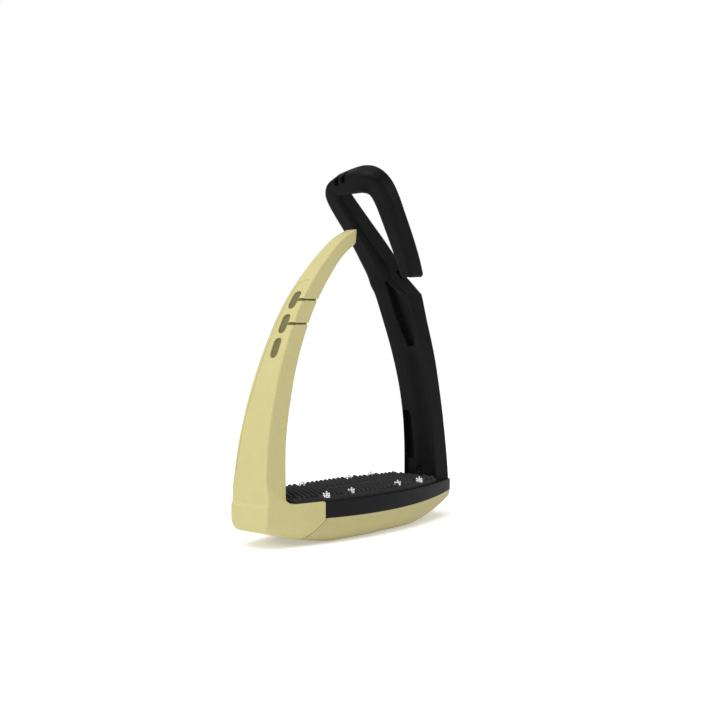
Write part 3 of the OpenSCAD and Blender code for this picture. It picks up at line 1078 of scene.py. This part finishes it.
@dataclass
class FlexBranch:
    """The pale flexible branch with its foot, three windows, two flex slits and a dark core under them that
    is painted shade.
    """

    plan: TreadPlan
    inner_line: Line = ((-61.3, -12), (-61.2, -6), (-60.6, 12), (-59, 30), (-54.6, 50), (-48, 70),
                        (-38.3, 90), (-28.2, 105), (-15.2, 120), (-6.6, 127), (-1.5, 130.2))
    outer_line: Line = ((-74.4, -12), (-74.4, -6), (-73.7, 10), (-70.9, 30), (-65.8, 50), (-58.6, 70),
                        (-48.9, 90), (-38.9, 105), (-25.4, 120), (-10.5, 133), (0.6, 138.7))
    half_low: float = 12.7
    half_top: float = 4.4
    top: float = 140.0
    tip: Point = (2.6, 0.42)
    edge_radii: Point = (0.9, 0.8)
    edge_shares: Point = (0.2, 0.18)
    rear_radius: float = 0.5
    rear_extra: float = 1.3
    foot_span: Point = (-75.0, -40.5)
    foot_top: float = -2.4
    flare_over: float = 0.2
    flare_rise: Point = (1.6, 16.0)
    settle: Point = (1.0, 7.0)
    pad_seat: tuple[float, ...] = (2.2, -57.9, -30.0)
    pad_seat_heights: Point = (-6.1, 6.0)
    flex_levels: tuple[float, float] = (87.6, 100.0)
    flex_x: tuple[float, float] = (-47.6, -40.0)
    bend_reach: float = 4.2
    split: float = 94.2
    slit_gap: float = 1.5
    slit_front: float = -16.0
    slit_outer: float = -9.0
    slit_cuts: tuple[Vec3, ...] = ((2.0, -0.9, -0.6), (3.0, 14.0, -4.0))
    windows: tuple[float, ...] = (100.0, 87.7, 75.4)
    window_size: Point = (5.2, 11.4)
    window_depth: float = 0.95
    window_cut: float = 2.3
    core_gap: float = 0.05
    core_inner: float = 0.7
    core_extra: Vec3 = (0.4, 0.4, 0.3)
    panel_line: Line = ((11.0, 12.0), (9.0, 40.0), (7.0, 62.0), (5.6, 82.0), (4.6, 98.0), (3.9, 106.0),
                        (2.6, 109.2), (0.0, 110.4), (-2.6, 110.0))
    panel_rod: Point = (0.12, 0.42)
    face_shear: float = 1.1
    voxel: float = 0.45
    relaxing: int = 3
    template: SectionTemplate = SectionTemplate(24, 16, 24, 16, 5)

    def build(self) -> bpy.types.Object:
        """Builds the whole branch with its foot, windows and slits.

        Returns:
            The closed piece.
        """
        whole = lofted("flex_branch", self._rings())
        combine(whole, self.plan.hull("foot", *self.foot_span, 0.0, self.foot_top, 1.0), "UNION")
        voxelled(whole, self.voxel, self.relaxing)
        self._settle(whole)
        seat = prism("pad_seat", self.plan.outline(*self.pad_seat), *self.pad_seat_heights, "z")
        combine(whole, seat, "DIFFERENCE")
        combine(whole, self.plan.seam_cutter("seam", -self.plan.seam_gap, True), "DIFFERENCE")
        combine(whole, self._panel_line(), "DIFFERENCE")
        for cutter in self._windows(0.0, self.window_cut) + self._slits(0.0):
            combine(whole, cutter, "DIFFERENCE")
        return whole

    def _settle(self, whole: bpy.types.Object) -> None:
        """Moves the points above the foot back onto the exact surface, so that the ridges stay crisp.

        Args:
            whole: The branch after it was rebuilt on a grid.
        """
        rings = self._rings()
        exact = BVHTree.FromPolygons((lifted(rings).reshape(-1, 3) * MM).tolist(), skin(rings))
        low, high = ((TREAD_Z + level) * MM for level in self.settle)
        for vertex in whole.data.vertices:
            if vertex.co.z > low:
                place = exact.find_nearest(vertex.co)[0]
                vertex.co = vertex.co.lerp(place, min((vertex.co.z - low) / (high - low), 1.0))

    def _split(self, whole: bpy.types.Object) -> tuple[bpy.types.Object, bpy.types.Object]:
        """Splits a piece between the two flex lines.

        Args:
            whole: The piece to split.

        Returns:
            Its lower and upper half.
        """
        upper = whole.copy()
        upper.data = whole.data.copy()
        upper.name = f"{whole.name}_upper"
        whole.name = f"{whole.name}_lower"
        bpy.context.scene.collection.objects.link(upper)
        self._halve(whole, (0.0, 0.0, 1.0))
        self._halve(upper, (0.0, 0.0, -1.0))
        return whole, upper

    def _rings(self, inset: float = 0.0) -> np.ndarray:
        """Lays out the sections of the branch, flared at the foot and closed softly at the tip.

        Args:
            inset: How far the sections are pulled in.

        Returns:
            Ring points.
        """
        layout = self.template.layout()
        keys = np.hstack([np.array(self.inner_line, float), np.array(self.outer_line, float)])[1:]
        dense = spline(keys, 1.0)
        rings = [self._ring(layout, (xi, zi), (xo, zo), 1.0, inset) for xi, zi, xo, zo in dense]
        xi, zi, xo, zo = dense[-1]
        last = dense[-1] - dense[-2]
        ahead = Vector((last[0], 0.0, last[1]))
        out = Vector((last[2], 0.0, last[3]))
        step = (ahead.normalized() + out.normalized()).normalized()
        length, narrowing = self.tip
        for a in (20.0, 40.0, 60.0, 75.0, 86.0):
            turn = math.radians(a)
            push = step * length * math.sin(turn)
            shrink = 1.0 - narrowing * (1.0 - math.cos(turn))
            inner = (xi + push.x, zi + push.z)
            outer = (xo + push.x, zo + push.z)
            rings.append(self._ring(layout, inner, outer, shrink, inset))
        return np.array(rings)

    def _ring(self, layout: np.ndarray, inner: Point, outer: Point, shrink: float,
              inset: float) -> np.ndarray:
        """Makes one section between an inner and an outer point.

        Args:
            layout: Section layout.
            inner: Inner (x, height).
            outer: Outer (x, height).
            shrink: Size share, below 1 on the rounded tip.
            inset: How far the section is pulled in.

        Returns:
            The ring's points.
        """
        a, c = np.array([inner[0], 0.0, inner[1]]), np.array([outer[0], 0.0, outer[1]])
        middle, width = (a + c) / 2.0, np.linalg.norm(c - a)
        n = (c - a) / width
        z = middle[2]
        half = self.half_low + (self.half_top - self.half_low) * max(z, 0.0) / self.top
        rear = half + self.rear_extra * min(half / self.half_low, 1.0) ** 2
        radius, outer_radius = (min(r, width * share) * shrink
                                for r, share in zip(self.edge_radii, self.edge_shares))
        flat = section(layout, shrink * width / 2 - inset, inset - half * shrink, rear * shrink - inset,
                       radius, outer_radius, self.rear_radius * shrink)
        outwards = (flat[:, 0] / flat[:, 0].max() + 1.0) / 2.0
        flat[:, 0] -= np.where(flat[:, 0] < 0.0, self.core_inner * inset, 0.0)
        ahead = np.clip(-flat[:, 1] / half, 0.0, 1.0)
        points = middle + flat[:, :1] * n
        low = self.foot_top + self.flare_over
        top = low + self.flare_rise[0] + (self.flare_rise[1] - self.flare_rise[0]) * outwards
        flare = 1.0 - smoothstep((points[:, 2] - low) / (top - low), 0.0, 1.0)
        wide = self.plan.half(points[:, 0]) / np.where(flat[:, 1] > 0, rear, half)
        sheared = flat[:, 1] + self.face_shear * outwards * ahead * (1.0 - flare)
        points[:, 1] = sheared * (1.0 + (wide - 1.0) * flare**1.5)
        return points

    def _windows(self, grow: float, depth: float) -> list[bpy.types.Object]:
        """Makes the oval plugs of the three windows.

        Args:
            grow: Added to their width and height.
            depth: How far they reach under the skin.

        Returns:
            The plugs.
        """
        outer = spline(self.outer_line, 1.0)
        width, height = self.window_size
        size = (width + grow, height + grow, 2 * depth)
        plugs = []
        reach = 5.0
        for i, z in enumerate(self.windows):
            below, x, above = np.interp((z - reach, z, z + reach), outer[:, 1], outer[:, 0])
            along = Vector((above - below, 0.0, 2.0 * reach)).normalized()
            out = (-along.z, 0.0, along.x)
            plugs.append(capsule(f"window_{i}", (x, 0.0, z), out, tuple(along), size))
        return plugs

    def _panel_line(self) -> bpy.types.Object:
        """Makes the thin rod that presses the panel line into the outer face.

        Returns:
            The rod, running up beside the rear edge and over the top window.
        """
        outer = spline(self.outer_line, 1.0)
        places = []
        for y, z in spline([(*q, 0.0) for q in self.panel_line], 1.5)[:, :2]:
            near = np.interp((z - 1.0, z, z + 1.0), outer[:, 1], outer[:, 0])
            out = Vector((-2.0, 0.0, near[2] - near[0])).normalized()
            places.append(Vector((near[1], y, z)) + self.panel_rod[0] * out)
        radius = self.panel_rod[1]
        rings = []
        for k, place in enumerate(places):
            ahead = (places[min(k + 1, len(places) - 1)] - places[max(k - 1, 0)]).normalized()
            side = ahead.cross(Vector((-1.0, 0.0, 0.3))).normalized()
            lift = side.cross(ahead)
            rings.append([place + radius * (math.cos(a) * side + math.sin(a) * lift)
                          for a in np.linspace(0.0, 2.0 * math.pi, 9)[:-1]])
        return lofted("panel_line", np.array(rings))

    def _slits(self, grow: float) -> list[bpy.types.Object]:
        """Makes the level slabs of the two slits, which run from the windows to the front.

        Args:
            grow: Added to their gap.

        Returns:
            The slabs.
        """
        slabs = []
        for i, (x, z) in enumerate(zip(self.flex_x, self.flex_levels)):
            left = x + self.slit_outer
            for divisor, reach, rear in self.slit_cuts:
                half = self.slit_gap / divisor
                low, high, right = z - half - grow / 2, z + half + grow / 2, x + reach
                outline = ((left, low), (right, low), (right, high), (left, high))
                slabs.append(prism(f"slit_{i}", outline, self.slit_front, rear, "y"))
        return slabs

    def _painted_shade_core(self) -> bpy.types.Object:
        """Builds the dark core, painted shade, that closes the windows and slits a little under the skin.

        Returns:
            The painted-shade core.
        """
        wider, deeper, taller = self.core_extra
        # The core is painted shade: a dark olive skin a little under the windows and slits.
        core = lofted("flex_painted_shade_core", self._rings(self.window_depth - self.core_gap))
        kept, *others = self._windows(wider, self.window_depth + deeper) + self._slits(taller)
        for other in others:
            combine(kept, other, "UNION")
        combine(core, kept, "INTERSECT")
        return core

    def _halve(self, piece: bpy.types.Object, away: Vec3) -> None:
        """Keeps the half of a piece on one side of the split and closes it.

        Args:
            piece: The piece to cut.
            away: Direction of the half that goes.
        """
        level = (self.split + TREAD_Z) * MM

        def cut(bm: bmesh.types.BMesh) -> None:
            """Bisects the mesh and fills the open rim.

            Args:
                bm: The piece's mesh.
            """
            bmesh.ops.bisect_plane(bm, geom=bm.verts[:] + bm.edges[:] + bm.faces[:],
                                   plane_co=(0, 0, level), plane_no=away, clear_outer=True)
            rim = [e for e in bm.edges if e.is_boundary]
            if rim:
                bmesh.ops.contextual_create(bm, geom=rim)

        with_bmesh(piece, cut)

    def dress(self, finishes: Finishes) -> list[bpy.types.Object]:
        """Builds the branch and its core, finishes them and splits each between the flex lines.

        Args:
            finishes: The shared finishes.

        Returns:
            The lower and upper pieces of the branch and of its painted-shade core.
        """
        pieces = self._split(self.build())
        painted_shade_cores = self._split(self._painted_shade_core())
        nodes = (("outer_branch_root", "outer_branch_middle"), ("outer_branch_tip",))
        for i, piece in enumerate(pieces):
            finish_piece(piece, finishes.branch, 40.0)
            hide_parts(*nodes[i])
            self._bend(piece)
        for i, piece in enumerate(painted_shade_cores):
            finish_piece(piece, finishes.painted_shade_core, 40.0)
            self._bend(piece)
        return [*pieces, *painted_shade_cores]

    def _bend(self, piece: bpy.types.Object) -> None:
        """Bakes a piece's placement into its mesh and logs it.

        Args:
            piece: The piece.
        """
        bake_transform(piece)
        report(piece, "bends at one flex line")


# ---------------------------------------------------------------- tread


@dataclass
class BottomCover:
    """The pale hull under the tread, a shell with four recessed screws."""

    plan: TreadPlan
    span: Point = (-60.0, 73.6)
    nose: float = 1.3
    hollow: Point = (-70.0, 75.0)
    wall: float = 2.2
    screws: tuple[Point, ...] = ((-24, -6), (-24, 6), (24, -6), (24, 6))
    head_r: float = 2.95
    recess: float = 3.0

    def build(self) -> bpy.types.Object:
        """Builds the shell.

        Returns:
            The closed piece.
        """
        piece = self.plan.hull("bottom_hull_cover", *self.span, 0.0, 2.0, 1.2, self.nose)
        combine(piece, self.plan.hull("hollow", *self.hollow, self.wall, 4.0, 2.0), "DIFFERENCE")
        above, wide = self.plan.above, self.plan.wide
        edge = [(float(x), self.plan.rim_edge(float(x))) for x in np.arange(-80.0, 81.0, 2.0)]
        lid = prism("lid", (*edge, (80.0, above), (-80.0, above)), -wide, wide, "y")
        combine(piece, lid, "DIFFERENCE")
        combine(piece, self.plan.seam_cutter("seam", -self.plan.seam_gap, False), "DIFFERENCE")
        floor = -TREAD_Z
        turn = np.linspace(0, 2 * math.pi, 33)[:-1]
        for x, y in self.screws:
            ring = tuple((x + self.head_r * math.cos(a), y + self.head_r * math.sin(a)) for a in turn)
            combine(piece, prism("recess", ring, floor - 1.0, floor + self.recess, "z"), "DIFFERENCE")
        return piece

    def dress(self, finishes: Finishes) -> bpy.types.Object:
        """Builds and finishes the cover.

        Args:
            finishes: The shared finishes.

        Returns:
            The finished piece.
        """
        piece = self.build()
        # The cover's darker finish carries painted shade for the underside.
        finish_piece(piece, finishes.cover, 34.0)
        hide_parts("bottom_cover")
        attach(piece, Body.STIRRUP.value)
        report(piece, "hull shell")
        return piece


@dataclass
class TreadPad:
    """The grip pad: a rubber base with rows of wedge teeth and a plain middle bar."""

    plan: TreadPlan
    inset: float = 2.5
    end: float = 57.4
    floor: float = -5.9
    rooted: float = 0.4
    base: float = -0.7
    tooth_top: float = 0.95
    pitch: Point = (3.5, 2.9)
    tooth: Point = (1.15, 0.95)
    crest: float = 0.42
    lean: float = 0.18
    end_clear: float = 1.6
    side_clear: float = 1.3
    bar: tuple[Point, Point] = ((-18.0, -1.3), (20.0, 1.3))
    bar_top: float = 0.1
    bar_sunk: float = 0.5
    edges: Point = (0.5, 0.25)
    bar_clear: Point = (1.5, 1.4)
    stud_clear: float = 3.1

    def build(self, studs: Sequence[Point]) -> bpy.types.Object:
        """Builds the pad.

        Args:
            studs: Places of the studs, which the teeth leave free.

        Returns:
            The piece.
        """
        outline = self.plan.outline(self.inset, -self.end, self.end)
        base = prism("pad_base", outline, self.floor, self.base, "z")
        (x0, y0), (x1, y1) = self.bar
        corners = ((x0, y0), (x1, y0), (x1, y1), (x0, y1))
        bar = prism("pad_bar", corners, self.base - self.bar_sunk, self.bar_top, "z")
        for part, width in zip((base, bar), self.edges):
            bevel = part.modifiers.new("edge", "BEVEL")
            bevel.width = width * MM
            bevel.segments = 3
            bevel.limit_method = "ANGLE"
            bevel.angle_limit = math.radians(50.0)
            apply_modifiers(part)
        return joined("tread_grip_pad", [base, bar, self._teeth(studs)])

    def _teeth(self, studs: Sequence[Point]) -> bpy.types.Object:
        """Lays out the wedge teeth.

        Args:
            studs: Places that stay free.

        Returns:
            All teeth as one object.
        """
        points: list[Vec3] = []
        faces: list[tuple[int, ...]] = []
        rows = int(2 * self.plan.half_depth / self.pitch[1])
        columns = int(2 * self.end / self.pitch[0])
        for j in range(-rows // 2, rows // 2 + 1):
            for i in range(-columns // 2, columns // 2 + 1):
                x = (i + 0.5 * (j % 2)) * self.pitch[0]
                y = j * self.pitch[1]
                if self._taken(x, y, studs):
                    continue
                self._tooth(points, faces, x, y, 1.0 if y < 0 else -1.0)
        return piece_from("pad_teeth", lifted(np.array(points)), faces)

    def _taken(self, x: float, y: float, studs: Sequence[Point]) -> bool:
        """Tells whether a place is too near the edge, the bar or a stud for a tooth.

        Args:
            x: Place along the tread.
            y: Place across the tread.
            studs: Places of the studs.

        Returns:
            True where no tooth may stand.
        """
        room = self.plan.half(x) - self.inset - self.side_clear
        if abs(x) > self.end - self.end_clear or abs(y) > room:
            return True
        (x0, y0), (x1, y1) = self.bar
        clear_x, clear_y = self.bar_clear
        if x0 - clear_x < x < x1 + clear_x and y0 - clear_y < y < y1 + clear_y:
            return True
        return any(math.hypot(x - sx, y - sy) < self.stud_clear for sx, sy in studs)

    def _tooth(self, points: list[Vec3], faces: list[tuple[int, ...]], x: float, y: float,
               side: float) -> None:
        """Adds one tooth: a four-sided stump with a narrow, slightly leaning crest.

        Args:
            points: Points of all teeth, which grow by this tooth's.
            faces: Faces of all teeth, which grow by this tooth's.
            x: Place along the tread.
            y: Place across the tread.
            side: 1 in the front half and -1 in the rear half, for the way it leans.
        """
        first = len(points)
        w, d = self.tooth
        top = self.tooth_top
        shift = self.lean * side
        levels = ((self.base - self.rooted, 1.0, 1.0, 0.0), (top - 0.25, self.crest + 0.12, 0.62, 0.6),
                  (top, self.crest - 0.12, 0.42, 1.0))
        for z, sw, sd, bend in levels:
            for u, v in ((-1, -1), (1, -1), (1, 1), (-1, 1)):
                points.append((x + u * w * sw, y + v * d * sd + shift * bend, z))
        for k in range(2):
            for c in range(4):
                a, b = first + 4 * k + c, first + 4 * k + (c + 1) % 4
                faces.append((a, b, b + 4, a + 4))
        faces.append(tuple(first + 8 + c for c in range(4)))
        faces.append(tuple(first + c for c in (3, 2, 1, 0)))

    def dress(self, finishes: Finishes, studs: Sequence[Point]) -> bpy.types.Object:
        """Builds and finishes the pad.

        Args:
            finishes: The shared finishes.
            studs: Places of the studs.

        Returns:
            The finished piece.
        """
        piece = self.build(studs)
        finish_piece(piece, finishes.rubber, 30.0)
        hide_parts("tread_pad")
        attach(piece, Body.STIRRUP.value)
        report(piece, "base, bar and wedge teeth")
        return piece


@dataclass
class CrownStuds:
    """Steel studs with a flange, four low lobes and a high middle prong, in two rows."""

    xs: tuple[float, ...] = (-38.0, -19.0, 19.0, 38.0)
    row_y: float = 18.0
    base: float = -1.2
    top: float = 2.3
    profile: Line = ((1.45, 0.0), (1.95, 0.1), (2.1, 0.3), (2.1, 0.95), (1.95, 1.25), (1.6, 1.4),
                     (0.95, 1.45), (0.7, 1.2))
    around: int = 28
    prong_at: float = 1.25
    prong_half: float = 0.68
    prong_foot: float = 1.1
    prong_lean: float = 0.16
    prong_levels: tuple[Point, ...] = ((0.0, 1.0), (0.55, 0.86), (0.85, 0.62), (1.0, 0.34))
    lobe_top: float = 1.35

    def places(self) -> list[Point]:
        """Both rows' places."""
        return [(x, y) for y in (-self.row_y, self.row_y) for x in self.xs]

    def build(self, name: str, y: float) -> bpy.types.Object:
        """Builds one row.

        Args:
            name: Name of the piece.
            y: Place of the row.

        Returns:
            The row as one piece.
        """
        parts = []
        for x in self.xs:
            parts.append(self._flange(x, y))
            for turn in (45.0, 135.0, 225.0, 315.0):
                parts.append(self._prong(x, y, self.prong_at, math.radians(turn), self.lobe_top))
            parts.append(self._prong(x, y, 0.0, 0.0, self.top))
        return joined(name, parts)

    def _flange(self, x: float, y: float) -> bpy.types.Object:
        """Turns the flange of one stud.

        Args:
            x: Middle of the stud.
            y: Middle of the stud.

        Returns:
            The flange.
        """
        turns = [2 * math.pi * k / self.around for k in range(self.around)]
        rings = [[(x + r * math.cos(a), y + r * math.sin(a), self.base + h) for a in turns]
                 for r, h in self.profile]
        return lofted("flange", np.array(rings))

    def _prong(self, x: float, y: float, out_by: float, turn: float, top: float) -> bpy.types.Object:
        """Makes one tapered prong with a blunt, chamfered crest.

        Args:
            x: Middle of the stud.
            y: Middle of the stud.
            out_by: Distance of the prong from the middle.
            turn: Direction of the prong.
            top: Height of its crest.

        Returns:
            The prong.
        """
        start = self.base + self.prong_foot
        rings = []
        for share, size in self.prong_levels:
            z = start + (top - start) * share
            out = out_by + self.prong_lean * share
            ring = []
            for k in range(8):
                a = 2 * math.pi * (k + 0.5) / 8
                u = out + self.prong_half * size * math.cos(a)
                v = 1.15 * self.prong_half * size * math.sin(a)
                ring.append((x + u * math.cos(turn) - v * math.sin(turn),
                             y + u * math.sin(turn) + v * math.cos(turn), z))
            rings.append(ring)
        return lofted("prong", np.array(rings))

    def dress(self, finishes: Finishes) -> list[bpy.types.Object]:
        """Builds and finishes both rows.

        Args:
            finishes: The shared finishes.

        Returns:
            The front and the rear row.
        """
        rows = []
        for node, y in (("studs_front", -self.row_y), ("studs_rear", self.row_y)):
            piece = self.build(f"crown_{node}", y)
            finish_piece(piece, finishes.stud, 32.0)
            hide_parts(node)
            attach(piece, Body.STIRRUP.value)
            report(piece, "four studs")
            rows.append(piece)
        return rows


# ---------------------------------------------------------------- frame parts that stay


@dataclass
class FrameParts:
    """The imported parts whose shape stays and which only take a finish."""

    edge_mm: float = 0.35

    def dress(self, finishes: Finishes) -> None:
        """Gives every carried-over part its finish.

        Args:
            finishes: The shared finishes.
        """
        groups = (
            (finishes.nylon, ("tread_frame",)),
            (finishes.zinc, ("pad_screws", "cover_screws", "inner_branch_screws", "blade_screws",
                             "blade_clamp_plate")),
            (finishes.core, ("inner_branch_core",)),
            (finishes.blade, ("spring_blade_root", "spring_blade_middle", "spring_blade_tip")),
            (finishes.brass, ("pad_inserts", "stud_inserts", "cover_inserts", "inner_branch_inserts",
                              "blade_inserts")))
        for material, names in groups:
            for name in names:
                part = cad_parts[name]
                if not part.material_slots:
                    part.data.materials.append(material)
                for slot in part.material_slots:
                    slot.material = material
        self._soften(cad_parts["tread_frame"])
        log.info("frame parts finished: %d groups", len(groups))

    def _soften(self, part: bpy.types.Object) -> None:
        """Breaks the moulded edges of a part with a small bevel.

        Args:
            part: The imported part.
        """
        bevel = part.modifiers.new("broken_edges", "BEVEL")
        bevel.width = self.edge_mm * MM
        bevel.segments = 2
        bevel.limit_method = "ANGLE"
        bevel.angle_limit = math.radians(40.0)
        bevel.use_clamp_overlap = True


# ---------------------------------------------------------------- studio


@dataclass
class Studio:
    """Pale floor, soft lights and the camera."""

    azimuth_deg: float = -48.5
    elevation_deg: float = 1.45
    distance: float = 0.606
    lens: float = 55.0
    aim_from_centre: Vec3 = (0.0083, 0.0, -0.00685)
    world_strength: float = 0.42
    floor_radius: float = 1.0
    floor_grey: float = 0.9
    floor_glow: float = 0.3
    floor_gap: float = 0.0002
    panels: tuple[tuple[str, Vec3, float, float], ...] = (
        ("top_panel", (-0.45, -0.1, 1.3), 1.5, 20.0),
        ("left_panel", (-1.5, 0.4, 0.7), 1.0, 8.0),
        ("right_panel", (0.62, -0.85, 0.42), 0.45, 1.8))

    def build(self) -> None:
        """Builds the floor, the lights and the camera."""
        self._floor()
        self._lights()
        self._camera()
        bpy.context.scene.view_settings.view_transform = "Standard"

    def _floor(self) -> None:
        """Lays a round floor just under the sole, plain and pale."""
        bm = bmesh.new()
        bmesh.ops.create_circle(bm, cap_ends=True, segments=96, radius=self.floor_radius)
        data = bpy.data.meshes.new("studio_floor")
        bm.to_mesh(data)
        bm.free()
        floor = bpy.data.objects.new("studio_floor", data)
        floor.location.z = CAD_LOW.z - self.floor_gap
        bpy.context.scene.collection.objects.link(floor)
        material = bpy.data.materials.new("pale_floor")
        material.use_nodes = True
        shader = material.node_tree.nodes["Principled BSDF"]
        shader.inputs["Base Color"].default_value = (*[self.floor_grey] * 3, 1.0)
        shader.inputs["Roughness"].default_value = 0.95
        shader.inputs["Specular IOR Level"].default_value = 0.0
        shader.inputs["Emission Color"].default_value = (1.0, 1.0, 1.0, 1.0)
        shader.inputs["Emission Strength"].default_value = self.floor_glow
        data.materials.append(material)

    def _lights(self) -> None:
        """Sets a bright even surround and three soft panels."""
        world = bpy.data.worlds.new("studio")
        world.use_nodes = True
        tree = world.node_tree
        shade_node = tree.nodes["Background"]
        shade_node.inputs["Color"].default_value = (1.0, 1.0, 1.0, 1.0)
        seen = tree.nodes.new("ShaderNodeLightPath")
        level = tree.nodes.new("ShaderNodeMapRange")
        level.inputs["To Min"].default_value = self.world_strength
        level.inputs["To Max"].default_value = 1.0
        tree.links.new(seen.outputs["Is Camera Ray"], level.inputs["Value"])
        tree.links.new(level.outputs["Result"], shade_node.inputs["Strength"])
        bpy.context.scene.world = world
        centre = (CAD_LOW + CAD_HIGH) / 2
        for name, offset, size, power in self.panels:
            light = bpy.data.lights.new(name, "AREA")
            light.shape = "DISK"
            light.size = size
            light.energy = power
            lamp = bpy.data.objects.new(name, light)
            lamp.location = centre + Vector(offset)
            lamp.rotation_mode = "QUATERNION"
            lamp.rotation_quaternion = (-Vector(offset)).to_track_quat("-Z", "Y")
            bpy.context.scene.collection.objects.link(lamp)

    def _camera(self) -> None:
        """Places the camera round the middle of the frame."""
        data = bpy.data.cameras.new("camera")
        data.lens = self.lens
        data.sensor_width = 36.0
        data.clip_start = 0.01
        data.clip_end = 100.0
        camera = bpy.data.objects.new("camera", data)
        a, e = math.radians(self.azimuth_deg), math.radians(self.elevation_deg)
        back = Vector((math.sin(a) * math.cos(e), -math.cos(a) * math.cos(e), math.sin(e)))
        aim = (CAD_LOW + CAD_HIGH) / 2 + Vector(self.aim_from_centre)
        camera.rotation_mode = "QUATERNION"
        camera.location = aim + back * self.distance
        camera.rotation_quaternion = (-back).to_track_quat("-Z", "Y")
        bpy.context.scene.collection.objects.link(camera)
        bpy.context.scene.camera = camera


def main() -> None:
    """Builds the stirrup in order."""
    logging.basicConfig(level=logging.INFO, format="%(name)s %(message)s")
    Studio().build()
    finishes = Finishes()
    plan = TreadPlan()
    studs = CrownStuds()
    RigidBranch().dress(finishes)
    FlexBranch(plan).dress(finishes)
    BottomCover(plan).dress(finishes)
    TreadPad(plan).dress(finishes, studs.places())
    studs.dress(finishes)
    FrameParts().dress(finishes)


if __name__ == "__main__":
    main()
